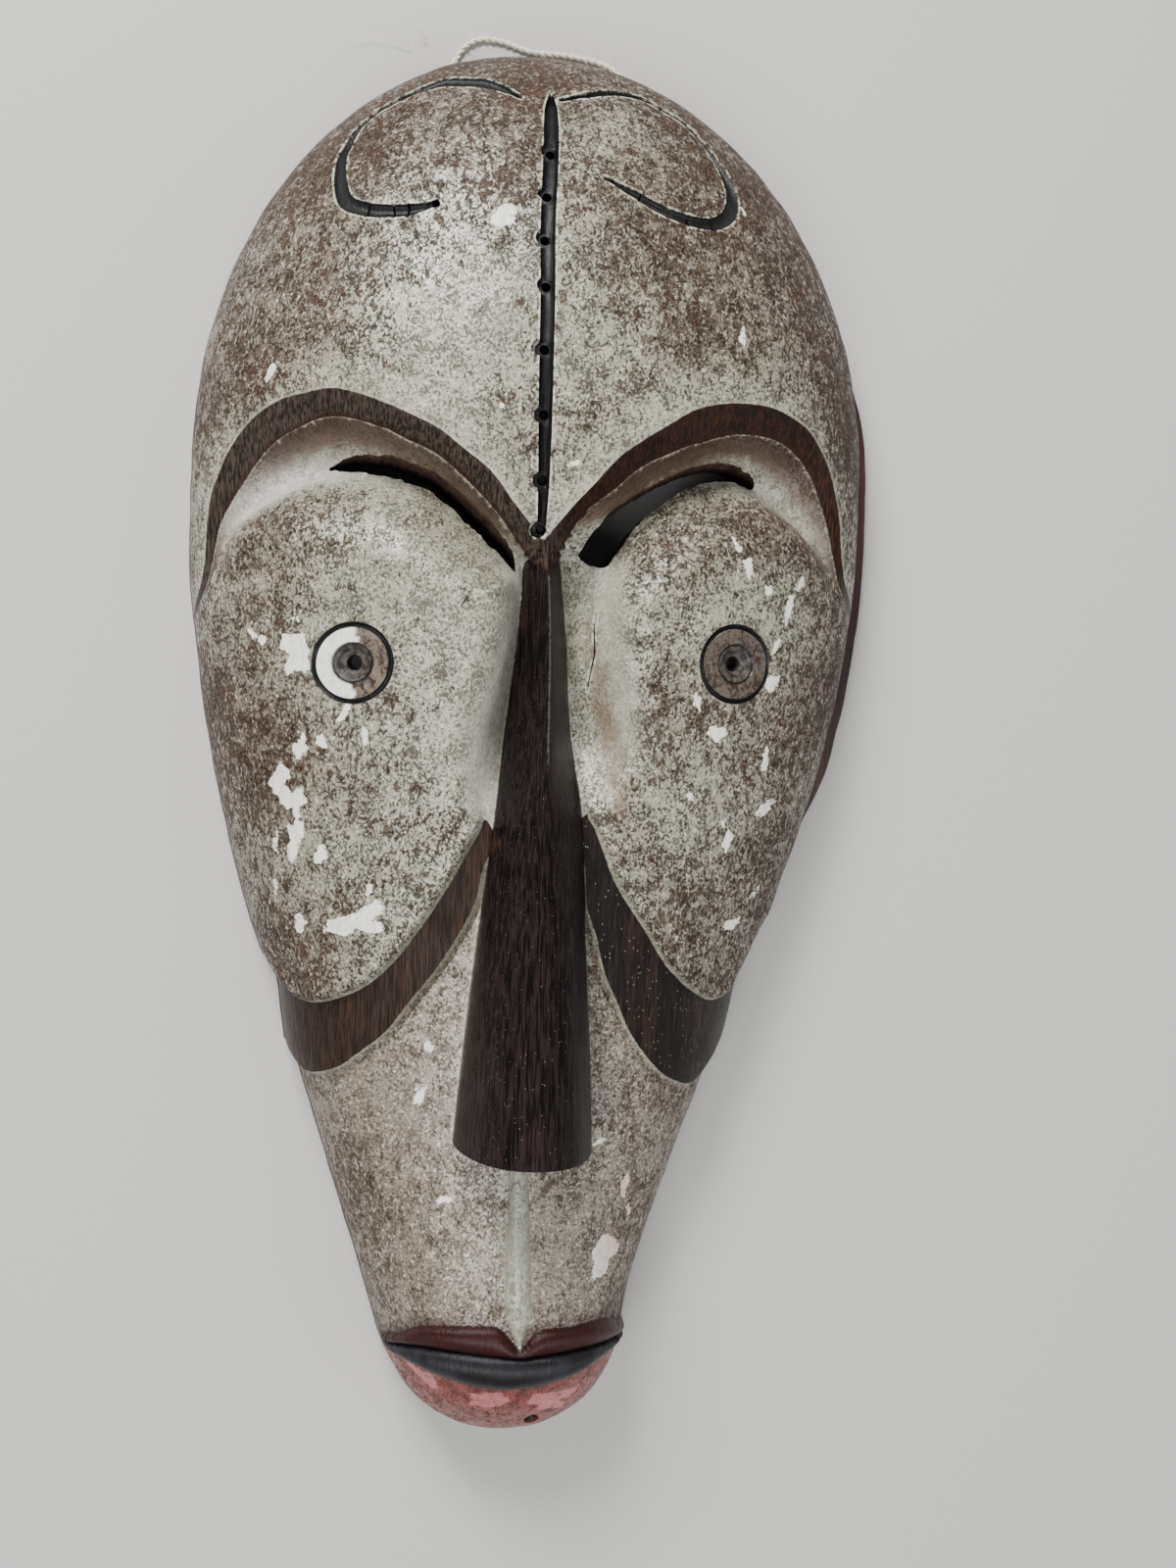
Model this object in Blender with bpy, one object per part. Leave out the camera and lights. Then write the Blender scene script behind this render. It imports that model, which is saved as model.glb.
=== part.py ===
"""Carved wooden face mask, lying on its rim, with its hanging twine.

The mask is one hollow shell. Its plan is drawn in units of 1/480 of its
length, seen from the front: x to the viewer's right, y up to the forehead.
The carving is worked out as a base dome that is pushed in and out.
"""

import math

import bmesh
import bpy
import numpy as np
from mathutils import Vector
from mathutils.geometry import delaunay_2d_cdt

# Driving sizes, in metres
MASK_LENGTH = 0.480
MASK_WIDTH = 0.236
FOREHEAD_HEIGHT = 0.088
RIM_WALL = 0.011
RIM_BAND_HEIGHT = 0.009
HOLLOW_HEIGHT = 0.070
RIM_HOLE_DIAMETER = 0.0045
RIM_HOLE_HEIGHT = 0.005
RIM_HOLE_SPACING = 0.0321
RIM_HOLE_PHASE = 0.86
TWINE_DIAMETER = 0.0022
KNOT_DIAMETER = 0.0064
GAP = 0.0003

# Carving sizes, in metres
GROOVE_WIDTH = 0.0054
GROOVE_DEPTH = 0.0025
HORN_WIDTH = 0.0042
HORN_DEPTH = 0.0018
STITCH_HOLE_DIAMETER = 0.0034
STITCH_HOLE_DEPTH = 0.0060
EYE_RING_RADIUS = 0.0122
EYE_RING_WIDTH = 0.0018
EYE_RING_DEPTH = 0.0012
PUPIL_RADIUS = 0.0064
PUPIL_HOLE_RADIUS = 0.0020
PUPIL_DEPTH = 0.0060
BAND_DROP = 0.0030
MUZZLE_DROP = 0.0060
BEVEL_WIDTH = 0.0025
LIP_HEIGHT = 0.0030
PHILTRUM_HEIGHT = 0.0025
RIM_LIP = 0.0006
RIM_FLARE = 0.0046
RIM_BAND_TOP_GAP = 0.0012
HOLLOW_WALL_LEAN = 0.06

# Exponents of the rounded sections: 2 is an ellipse, more is fuller
DOME_ROUNDNESS = 2.2
END_ROUNDNESS = 2.5
HOLLOW_ROUNDNESS = 2.4
NOSE_TOP_SECTION = 1.2
NOSE_LOW_SECTION = 2.2
LIP_ROUNDNESS = 0.6
SOCKET_ROUNDNESS = 1.5

# Shares: floor and mouth rings of a stitch hole by its diameter, the floor ring and cone of a pupil,
# where the lips fade out across the mask, and where a cheek's rounding gets a line of its own
STITCH_RINGS = (0.38, 0.5)
PUPIL_FLOOR = 0.75
PUPIL_CONE = 0.4
LIP_FADE = (1.0, 0.86)
ROUNDING_LINE = 0.45

# Mesh spacing, in metres of unrolled surface
FRONT_SPACING = 0.0110
BACK_SPACING = 0.0180
RING_POINTS = 112
LOOSE_POINT_GAP = 0.55
OUTLINE_MARGIN = 0.003

# Spacing of the points on the drawn lines, in metres
BROW_STEP = 0.0090
EDGE_STEP = 0.0100
CHEEK_STEP = 0.0095
ROUNDING_STEP = 0.0110
GROOVE_STEP = 0.0075
LIP_STEP = 0.0060
NOSE_STEP = 0.0140
SLIT_CLEARANCE = 0.0030
NOSE_FOOT_GAP = 0.0004
SLOPE_STEP = 0.00005

# Units of the drawing
UX = MASK_WIDTH / 236.0
UY = MASK_LENGTH / 480.0
UZ = FOREHEAD_HEIGHT / 88.0

# Outline: half widths at heights on the mask, then a half ellipse on each end
TOP_Y = 96 * UY
TOP_HEIGHT = 143.4 * UY
CHIN_Y = -205 * UY
CHIN_HEIGHT = 36 * UY
# Heights between which the muzzle sinks under the dome, and where it widens under the bands
MUZZLE_FADE_Y = (-195 * UY, -135 * UY)
MUZZLE_WIDEN_Y = (-78 * UY, -118 * UY)
# Heights between which the right side's rim flares out, from below and from above
FLARE_LOW_Y = (-40 * UY, 0)
FLARE_HIGH_Y = (160 * UY, 110 * UY)
STATION_Y = np.array([-250, -216, -186, -156, -121, -86, -50, -15, 27, 60, 96]) * UY
LEFT_HALF = np.array([42, 42, 50, 60, 71.5, 83.5, 95.5, 104, 111.5, 115, 115]) * UX
RIGHT_HALF = np.array([41, 41, 45.5, 55.5, 68.5, 82.5, 95.5, 107, 116.5, 120.5, 121]) * UX
CREST_Y = np.array([-250, -190, -156, -121, -50, 27, 96]) * UY
CREST_Z = np.array([54, 60, 64, 67, 72, 80, 88]) * UZ
HOLLOW_Y = np.array([-250, -190, -120, -60, 30, 90, 140, 170]) * UY
HOLLOW_SHARE = np.array([0.50, 0.50, 0.56, 0.60, 0.62, 0.66, 0.96, 1.0])
CENTRE = np.array([2.0 * UX, 20 * UY])

# Brow, outer edge, from each outer end to the middle
BROW_OUTER_L = [(-114, 38), (-109, 51), (-108, 63), (-107, 75), (-104, 84), (-100, 92), (-93, 100),
                (-85, 105), (-76, 107), (-67, 108), (-59, 106), (-51, 103), (-42, 99), (-34, 95),
                (-26, 89), (-17, 82), (-10, 73), (-2, 64), (0, 62)]
BROW_OUTER_R = [(119, 48), (110, 58), (107, 68), (105, 79), (102, 88), (97, 97), (91, 104), (83, 108),
                (75, 110), (67, 110), (58, 109), (48, 106), (40, 101), (31, 95), (23, 89), (16, 81),
                (8, 72), (0, 62)]
# Brow, inner edge: x, y and the drop of the chamfer there
BROW_INNER_L = [(-115, 34, 0), (-107.5, 50, 0.6), (-105.5, 66, 2), (-102, 75, 3.5), (-98, 82, 4.5),
                (-92, 90, 5), (-83, 96, 5), (-72, 100, 5), (-62, 99, 5), (-53, 96, 5), (-45, 92, 5),
                (-36, 88, 5), (-28, 82, 5), (-19, 74, 5), (-12, 66, 5), (-6, 58, 5), (1, 51, 5)]
BROW_INNER_R = [(119, 44, 0), (108, 56, 0.6), (105, 67, 2), (102.5, 76, 3), (99.5, 84, 4), (95, 92, 5),
                (88, 98, 5), (79, 101, 5), (68, 101, 5), (59, 99, 5), (49, 95, 5), (40, 91, 5),
                (31, 86, 5), (23, 79, 5), (14, 71, 5), (6, 57, 5), (1, 51, 5)]
# Cheek edge, from the outer end, under the brow, beside the nose and round below:
# x, y, drop at the edge, width of the rounding above it, and fall beyond it
CHEEK_L = [(-116, 30, 0, 5, 0), (-106, 50, 1, 6, 0), (-102.5, 64, 4, 8, 0), (-99, 71, 8, 13, 0),
           (-93, 76.5, 12, 17, 0), (-86, 80.5, 16, 21, 0), (-77, 83, 19, 25, 0), (-60, 82, 21, 28, 0),
           (-41, 77, 21, 27, 0), (-24, 65, 20, 23, 0), (-12, 55, 18, 17, 0.5), (-7.5, 48, 14, 12, 1.5),
           (-9, 34, 9, 11, 2), (-13, 15, 7, 11, 2), (-17, 0, 6, 10, 1.6), (-18, -16, 4.5, 7, 1),
           (-16, -27, 3.2, 4, 0.2), (-21, -38, 3, 3, 0), (-28, -51, 3, 3, 0), (-35, -62, 3, 3, 0),
           (-43, -73, 3, 3, 0), (-52, -82, 3, 3, 0), (-61, -87, 3, 3, 0), (-70, -90, 3, 3, 0),
           (-77, -89, 3, 3, 0), (-84, -83, 3, 3, 0), (-94, -70, 3, 3, 0)]
CHEEK_R = [(120, 40, 0, 5, 0), (107, 53, 1, 6, 0), (102, 64, 4, 8, 0), (98, 71, 8, 13, 0),
           (92.5, 77, 12, 17, 0), (85, 82.5, 16, 21, 0), (76, 86, 19, 25, 0), (65, 85, 21, 28, 0),
           (52, 80, 21, 27, 0), (38, 70, 20, 23, 0), (28, 58, 18, 17, 0.5), (24, 50, 14, 13, 0.9),
           (23, 42, 10, 13, 0.9), (26, 26, 7, 13, 0.9), (30, 14, 6, 12, 0.9), (30, -2, 6, 10, 0.9),
           (23, -17, 4.5, 7, 0.6), (18, -24, 3.5, 4, 0.2), (21, -30, 3, 3, 0), (28, -46, 3, 3, 0),
           (34, -55, 3, 3, 0), (40, -63, 3, 3, 0), (47, -73, 3, 3, 0), (54, -80, 3, 3, 0),
           (62, -85.5, 3, 3, 0), (69, -88, 3, 3, 0), (75, -86.5, 3, 3, 0), (79, -80, 3, 3, 0),
           (90, -62, 3, 3, 0)]
# Rows of the cheek edge between which the ground under the brow turns into the ground beside the nose
UNDER_BROW_END = 9.0
NOSE_SIDE_START = 11.0
BEVEL_TOP_Y = -30 * UY
ROUNDING_LOW_Y = -20 * UY
# Lower edge of the dark cheek band
BAND_LOW_L = [(-4, -24), (-15, -41), (-18, -54), (-24, -66), (-31, -77), (-38, -86), (-46, -97),
              (-54, -104), (-61, -110), (-67, -113), (-73, -114.5), (-78, -111), (-88, -100)]
BAND_LOW_R = [(8, -24), (17, -38), (19, -54), (23, -65), (26, -76), (31, -86), (36, -96), (42, -104),
              (49, -111), (56, -115), (62, -116.5), (68, -112.5), (80, -98)]
# Eye slits: upper edges; the lower edges run along the cheek edge
SLIT_TOP_L = [(-78, 84.5), (-74, 87), (-68, 88.5), (-60, 88.5), (-54, 88), (-46, 86), (-36, 82),
              (-27, 76), (-19, 69), (-13, 63), (-8.5, 57)]
SLIT_LOW_L = [(-7.5, 51), (-12, 55.5), (-24, 65.5), (-32, 72), (-41, 77.5), (-51, 80.5), (-60, 82.5),
              (-69, 83.6)]
SLIT_TOP_R = [(14, 57.5), (18, 65), (24, 72), (32, 78), (42, 83.5), (52, 88), (62, 91), (69, 92),
              (76, 91), (82, 88.5)]
SLIT_LOW_R = [(82.5, 84.6), (76, 86.5), (65, 85.6), (52, 80.6), (44, 75), (38, 70.5), (32, 64),
              (28, 58.5), (24.5, 54), (19, 54.5)]
# Nose: height on the mask, axis, half width, and the height of its ridge
NOSE = [(61, 0.6, 3.2, 80.5), (55, 1.4, 6.0, 82), (45, 2.0, 7.4, 84), (30, 2.4, 9.0, 86.5),
        (14, 2.4, 10.4, 89), (-2, 2.2, 12.0, 91.3), (-20, 1.9, 13.8, 93.7), (-41, 1.6, 15.9, 96.5),
        (-62, 1.2, 17.9, 99), (-85, 0.8, 20, 101.3), (-108, 0.6, 22, 103.5), (-133, 0.3, 24, 105)]
NOSE_COLUMNS = (-1, -0.93, -0.72, -0.38, 0, 0.38, 0.72, 0.93, 1)
NOSE_ROUND_FROM = 10
NOSE_ROUND_TO = -95
# Low ground beside the nose: height on the mask and depth under the dome
LOW_Y = [-45, -35, -20, -5, 10]
LOW_DEPTH = [6, 7, 12, 17, 20]
# Mouth
LIP_TOP = [(-46, -206), (-39, -202), (-33, -197), (-26, -194.3), (-12, -193), (-6, -193.4), (-2, -197),
           (1.5, -201), (5.5, -196.5), (10, -194.3), (19, -194.7), (29, -194.5), (36, -197), (44, -203)]
MOUTH = [(-46, -206), (-40, -205), (-32, -203), (-21, -202.4), (-9, -203), (1.5, -203.6), (11, -203.2),
         (23, -203), (36, -203.6), (44, -203)]
LIP_LOW = [(-46, -206), (-38, -208), (-31, -210), (-23, -212), (-14, -214), (-3, -215), (5, -214.6),
           (14, -213), (23, -211), (30, -208), (36, -206), (44, -203)]
PHILTRUM = [(-0.5, -134, 2.4), (-0.3, -150, 2.7), (0.2, -170, 3.1), (0.6, -187, 3.7), (1, -195, 2.4),
            (1.4, -201, 0.5)]
# Forehead grooves
CENTRE_GROOVE = [(1, 212), (0.4, 200), (0, 188), (-0.9, 172), (-1.4, 157), (-1.2, 142), (-1.3, 121),
                 (-1.2, 101), (-1, 80), (-1.1, 67)]
STITCH_Y = (188.3, 172.5, 157.3, 141.8, 121.4, 100.8, 80.3, 65)
HORN_L = [(-9, 209), (-19, 214.5), (-32, 216.5), (-44, 212.5), (-53, 207.5), (-60, 201), (-64, 194),
          (-66.5, 186), (-66.5, 177), (-64.5, 170), (-58, 166.5), (-50, 165.5), (-43, 166), (-37, 167.5)]
HORN_R = [(4, 209), (13, 212.5), (22, 215.5), (33, 215.5), (41, 211.5), (48, 207), (55, 198),
          (60, 189), (62, 181), (60, 173.5), (54, 169), (46, 168.5), (37, 170.5), (27, 175), (17, 180)]
EYES = [(-59, 22), (66, 26)]
# Twine: share of the span between its two holes, and how far out of the rim it lies (mm)
TWINE_HOLES = [(-29, 235), (40, 231)]
TWINE_OUTSIDE = [(0.02, 8.5), (0.06, 13.4), (0.15, 17.2), (0.275, 17.2), (0.44, 14.6), (0.66, 14.6),
                 (0.86, 12.6), (0.96, 8.5)]
TWINE_STRAIGHT = 0.0030
TWINE_STEP = 0.0050
TWINE_FLOOR_GAP = 0.00005


def table(xs, ys):
    """Smooth curve through a table, with one slope at each station."""
    xs = np.asarray(xs, float)
    ys = np.asarray(ys, float)
    slope = np.gradient(ys, xs)

    def read(x):
        x = np.clip(x, xs[0], xs[-1])
        i = np.clip(np.searchsorted(xs, x) - 1, 0, len(xs) - 2)
        step = xs[i + 1] - xs[i]
        t = (x - xs[i]) / step
        ends = (2 * t**3 - 3 * t**2 + 1) * ys[i] + (3 * t**2 - 2 * t**3) * ys[i + 1]
        return ends + step * ((t**3 - 2 * t**2 + t) * slope[i] + (t**3 - t**2) * slope[i + 1])

    return read


def ramp(start, end, x):
    """0 at start, 1 at end, smooth between."""
    t = np.clip((x - start) / (end - start), 0, 1)
    return t * t * (3 - 2 * t)


left_half = table(STATION_Y, LEFT_HALF)
right_half = table(STATION_Y, RIGHT_HALF)
crest = table(CREST_Y, CREST_Z)
hollow_share = table(HOLLOW_Y, HOLLOW_SHARE)


def muzzle_drop(y):
    """How far the muzzle lies under the dome; it fades out above the mouth."""
    return MUZZLE_DROP * ramp(*MUZZLE_FADE_Y, y)


def end_factor(y, inset=0.0, power=2.0):
    """Rounds the forehead end and the chin end off."""
    top = np.clip((y - TOP_Y) / (TOP_HEIGHT - inset), 0, 1) ** power
    chin = np.clip((CHIN_Y - y) / (CHIN_HEIGHT - inset), 0, 1) ** 2
    return np.sqrt((1 - top) * (1 - chin))


def half_width(x, y):
    """Half width of the dome on the side where x lies."""
    y_in = np.clip(y, STATION_Y[0], TOP_Y)
    half = np.where(x < 0, left_half(y_in), right_half(y_in))
    half = half + muzzle_drop(y_in) * ramp(*MUZZLE_WIDEN_Y, y_in)
    return half * end_factor(y)


def arch(across, roundness):
    """1 in the middle and 0 at the sides."""
    return np.sqrt(np.clip(1 - across**roundness, 0, 1))


def dome(x, y):
    """Height of the base dome over the rim plane."""
    across = np.abs(x / np.maximum(half_width(x, y), 1e-6))
    rise = crest(np.clip(y, STATION_Y[0], TOP_Y)) - RIM_BAND_HEIGHT
    return RIM_BAND_HEIGHT + rise * end_factor(y, power=END_ROUNDNESS) * arch(across, DOME_ROUNDNESS)


def dome_normal(x, y, step=SLOPE_STEP):
    gx = (dome(x + step, y) - dome(x - step, y)) / (2 * step)
    gy = (dome(x, y + step) - dome(x, y - step)) / (2 * step)
    normal = np.stack([-gx, -gy, np.ones_like(gx)], axis=-1)
    return normal / np.linalg.norm(normal, axis=-1, keepdims=True)


def hollow_half_width(x, y):
    y_in = np.clip(y, STATION_Y[0], TOP_Y)
    half = np.where(x < 0, left_half(y_in), right_half(y_in)) - RIM_WALL
    return half * end_factor(y, RIM_WALL)


def hollow(x, y):
    """Height of the hollow back over the rim plane."""
    across = np.abs(x / np.maximum(hollow_half_width(x, y), 1e-6))
    rise = HOLLOW_HEIGHT * hollow_share(y) * end_factor(y, RIM_WALL, END_ROUNDNESS)
    return rise * arch(across, HOLLOW_ROUNDNESS)


def plan(points):
    """Drawing points in metres; further columns are millimetres of depth."""
    rows = np.array(points, float)
    rows[:, 0] *= UX
    rows[:, 1] *= UY
    rows[:, 2:] *= 0.001
    return rows


def smooth_line(points, per_span=4):
    """Catmull-Rom curve through the rows, with every column interpolated."""
    rows = np.asarray(points, float)
    ends = np.vstack([2 * rows[0] - rows[1], rows, 2 * rows[-1] - rows[-2]])
    t = (np.arange(per_span) / per_span)[:, None]
    spans = []
    for a, b, c, d in zip(ends, ends[1:], ends[2:], ends[3:]):
        spans.append(0.5 * (2 * b + (c - a) * t + (2 * a - 5 * b + 4 * c - d) * t**2
                            + (3 * b - a - 3 * c + d) * t**3))
    return np.vstack(spans + [rows[-1:]])


def nearest(points, line):
    """Distance to a polyline and the place on it, counted in its points."""
    start = line[:-1, :2]
    span = line[1:, :2] - start
    length2 = np.maximum((span**2).sum(axis=1), 1e-18)
    best = np.full(len(points), np.inf)
    place = np.zeros(len(points))
    for i in range(len(start)):
        offset = points - start[i]
        t = np.clip(offset @ span[i] / length2[i], 0, 1)
        gap = np.hypot(*(offset - t[:, None] * span[i]).T)
        closer = gap < best
        best[closer] = gap[closer]
        place[closer] = i + t[closer]
    return best, place


def along(line, place, column):
    """Reads a column of a line at places counted in its points."""
    return np.interp(place, np.arange(len(line)), line[:, column])


def inside(points, polygon):
    """Which points lie in a closed polygon."""
    x, y = points.T
    odd = np.zeros(len(points), bool)
    for (xa, ya), (xb, yb) in zip(polygon, np.roll(polygon, -1, axis=0)):
        crosses = (ya > y) != (yb > y)
        if ya != yb:
            odd ^= crosses & (x < (xb - xa) * (y - ya) / (yb - ya) + xa)
    return odd


SPAN = 4
brow_outer = {-1: smooth_line(plan(BROW_OUTER_L), SPAN), 1: smooth_line(plan(BROW_OUTER_R), SPAN)}
brow_inner = {-1: smooth_line(plan(BROW_INNER_L), SPAN), 1: smooth_line(plan(BROW_INNER_R), SPAN)}
cheek_edge = {-1: smooth_line(plan(CHEEK_L), SPAN), 1: smooth_line(plan(CHEEK_R), SPAN)}
band_low = {-1: smooth_line(plan(BAND_LOW_L), SPAN), 1: smooth_line(plan(BAND_LOW_R), SPAN)}
for edge_line in cheek_edge.values():
    edge_line[:, 4] *= 1000
lip_top = smooth_line(plan(LIP_TOP), SPAN)
mouth = smooth_line(plan(MOUTH), SPAN)
lip_low = smooth_line(plan(LIP_LOW), SPAN)
centre_groove = smooth_line(plan(CENTRE_GROOVE), SPAN)
horns = [smooth_line(plan(HORN_L), SPAN), smooth_line(plan(HORN_R), SPAN)]
philtrum = plan(PHILTRUM)
nose = np.column_stack([np.array(NOSE)[:, 0] * UY, np.array(NOSE)[:, 1:3] * UX, np.array(NOSE)[:, 3] * UZ])
nose = nose[::-1]
nose_axis = table(nose[:, 0], nose[:, 1])
nose_half = table(nose[:, 0], nose[:, 2])
nose_ridge = table(nose[:, 0], nose[:, 3])
FAR = 0.4  # well outside the mask


def side_region(line, side):
    """Region between a line and the outside."""
    edge = line[:, :2]
    outside = np.array([[side * FAR, edge[-1, 1]], [side * FAR, edge[0, 1]]])
    return np.vstack([edge, outside])


def below(left, right):
    """Region below a line that runs in from the left and out to the right."""
    line = np.vstack([left[:, :2], right[::-1, :2]])
    return np.vstack([[-FAR, line[0, 1]], line, [FAR, line[-1, 1]], [FAR, -FAR], [-FAR, -FAR]])


def socket_depth(points, side, cheek_gap, cheek_place):
    """Depth under the brow, from the brow's inner edge down to the valley."""
    brow_gap, brow_place = nearest(points, brow_inner[side])
    brow_drop = along(brow_inner[side], brow_place, 2)
    valley_drop = along(cheek_edge[side], cheek_place, 2)
    share = brow_gap / np.maximum(brow_gap + cheek_gap, 1e-9)
    return brow_drop + (valley_drop - brow_drop) * (1 - (1 - share) ** SOCKET_ROUNDNESS)


def face_depth(points):
    """Depth of the carving under the dome, without nose, lips and grooves."""
    depth = np.zeros(len(points))
    heart = inside(points, below(brow_outer[-1], brow_outer[1]))
    inner = inside(points, below(brow_inner[-1], brow_inner[1]))
    muzzle_line = np.vstack([band_low[-1][::-1, :2], band_low[1][:, :2]])
    muzzle = inside(points, np.vstack([[-FAR, muzzle_line[0, 1]], muzzle_line,
                                       [FAR, muzzle_line[-1, 1]], [FAR, -FAR], [-FAR, -FAR]]))
    low_floor = np.interp(points[:, 1], np.array(LOW_Y) * UY, np.array(LOW_DEPTH) * 0.001)
    for side in (-1, 1):
        on_side = (points[:, 0] - nose_axis(points[:, 1])) * side > 0
        brow = on_side & heart & ~inner
        outer_gap, _ = nearest(points[brow], brow_outer[side])
        inner_gap, place = nearest(points[brow], brow_inner[side])
        share = outer_gap / np.maximum(outer_gap + inner_gap, 1e-9)
        depth[brow] = share * along(brow_inner[side], place, 2)

        cheek = on_side & inside(points, side_region(cheek_edge[side], side)) & inner
        gap, place = nearest(points[cheek], cheek_edge[side])
        drop = along(cheek_edge[side], place, 2)
        roll = along(cheek_edge[side], place, 3)
        depth[cheek] = drop * np.clip(1 - gap / roll, 0, 1) ** 2

        low = on_side & inner & ~cheek & ~muzzle
        gap, place = nearest(points[low], cheek_edge[side])
        under_brow = socket_depth(points[low], side, gap, place)
        fall = along(cheek_edge[side], place, 4)
        beside = along(cheek_edge[side], place, 2) + fall * gap
        beside = np.minimum(beside, np.maximum(low_floor[low], BAND_DROP))
        blend = ramp(UNDER_BROW_END * SPAN, NOSE_SIDE_START * SPAN, place)
        depth[low] = under_brow * (1 - blend) + beside * blend

        here = on_side & muzzle & ~cheek
        gap, _ = nearest(points[here], band_low[side])
        step = BAND_DROP + (MUZZLE_DROP - BAND_DROP) * gap / BEVEL_WIDTH
        depth[here] = np.minimum(step, muzzle_drop(points[here, 1]))
    return depth


def groove_depth(points, line, width, depth):
    """A round-bottomed groove along a line."""
    gap, _ = nearest(points, line)
    return depth * np.sqrt(np.clip(1 - (2 * gap / width) ** 2, 0, 1))


def mouth_rise(points):
    """Lips stand proud on both sides of the mouth line."""
    rise = np.zeros(len(points))
    line_gap, _ = nearest(points, mouth)
    for edge in (lip_top, lip_low):
        lip = inside(points, np.vstack([edge[:, :2], mouth[::-1, :2]]))
        edge_gap, _ = nearest(points, edge)
        share = line_gap / np.maximum(line_gap + edge_gap, 1e-9)
        bulge = LIP_HEIGHT * np.clip(4 * share * (1 - share), 0, 1) ** LIP_ROUNDNESS
        rise[lip] = bulge[lip]
    corners = ramp(*LIP_FADE, np.abs(points[:, 0]) / np.maximum(half_width(*points.T), 1e-6))
    return rise * corners


def philtrum_rise(points):
    """A low ridge from the nose down to the dip of the upper lip."""
    rows = philtrum[::-1]
    axis = np.interp(points[:, 1], rows[:, 1], rows[:, 0])
    half = np.interp(points[:, 1], rows[:, 1], rows[:, 2], left=1e-6, right=1e-6)
    across = np.clip(np.abs(points[:, 0] - axis) / half, 0, 1)
    return PHILTRUM_HEIGHT * (1 - across**2) * (half > 1e-5)


def round_pits(points):
    """Blind holes of the centre groove, and the ring and pit of each eye."""
    depth = np.zeros(len(points))
    for centre in stitch_holes():
        gap = np.hypot(*(points - centre).T)
        depth = np.where(gap < STITCH_HOLE_DIAMETER * sum(STITCH_RINGS) / 2, STITCH_HOLE_DEPTH, depth)
    for centre in eye_centres():
        gap = np.hypot(*(points - centre).T)
        ring = np.sqrt(np.clip(1 - (2 * (gap - EYE_RING_RADIUS) / EYE_RING_WIDTH) ** 2, 0, 1))
        cone = np.clip((PUPIL_RADIUS - gap) / (PUPIL_RADIUS - PUPIL_HOLE_RADIUS), 0, 1)
        hole = gap < PUPIL_HOLE_RADIUS * (1 + PUPIL_FLOOR) / 2
        depth += EYE_RING_DEPTH * ring + PUPIL_DEPTH * (PUPIL_CONE * cone + (1 - PUPIL_CONE) * hole)
    return depth


def stitch_holes():
    rows = centre_groove[::-1]
    return [np.array([np.interp(y * UY, rows[:, 1], rows[:, 0]), y * UY]) for y in STITCH_Y]


def eye_centres():
    return plan(EYES)


def carving_depth(points):
    """Total depth along the dome's normal, all features but the nose."""
    depth = face_depth(points)
    grooves = groove_depth(points, centre_groove, GROOVE_WIDTH, GROOVE_DEPTH)
    for horn in horns:
        grooves = np.maximum(grooves, groove_depth(points, horn, HORN_WIDTH, HORN_DEPTH))
    return depth + np.maximum(grooves, round_pits(points)) - mouth_rise(points) - philtrum_rise(points)


def nose_rise(points, surface_z):
    """How far the nose stands over the carved ground, straight up."""
    x, y = points.T
    across = np.clip(np.abs(x - nose_axis(y)) / nose_half(y), 0, 1)
    rounding = ramp(NOSE_ROUND_FROM * UY, NOSE_ROUND_TO * UY, y)
    section = (1 - rounding) * (1 - across**NOSE_TOP_SECTION) + rounding * arch(across, NOSE_LOW_SECTION)
    within = (y <= nose[-1, 0]) & (y >= nose[0, 0] - 1e-6)
    return np.maximum(nose_ridge(y) - surface_z, 0) * section * within


def front_surface(points):
    """Points of the finished front over plan points."""
    x, y = points.T
    shape = np.stack([x, y, dome(x, y)], axis=-1) - dome_normal(x, y) * carving_depth(points)[:, None]
    shape[:, 2] += nose_rise(points, shape[:, 2])
    return shape


def outline(count, width, height_inset):
    """Closed outline, counted counter-clockwise from the top, evenly spaced."""
    turn = np.linspace(0, math.pi / 2, 61)
    sides = []
    for side in (-1, 1):
        top_y = TOP_Y + (TOP_HEIGHT - height_inset) * np.cos(turn)
        flank_y = np.linspace(TOP_Y, CHIN_Y, 120)[1:]
        chin_y = CHIN_Y - (CHIN_HEIGHT - height_inset) * np.sin(turn)[1:]
        y = np.concatenate([top_y, flank_y, chin_y])
        x = side * width(np.full(len(y), float(side)), y)
        x[0] = x[-1] = 0.0
        sides.append(np.column_stack([x, y]))
    loop = np.vstack([sides[0], sides[1][-2::-1]])
    steps = np.concatenate([[0], np.cumsum(np.hypot(*np.diff(loop, axis=0).T))])
    at = np.linspace(0, steps[-1], count, endpoint=False)
    return np.column_stack([np.interp(at, steps, loop[:, 0]), np.interp(at, steps, loop[:, 1])])


def ring_normals(ring):
    """Outward directions of a closed counter-clockwise ring."""
    tangent = np.roll(ring, -1, axis=0) - np.roll(ring, 1, axis=0)
    tangent /= np.linalg.norm(tangent, axis=1, keepdims=True)
    return np.column_stack([tangent[:, 1], -tangent[:, 0]])


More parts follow.
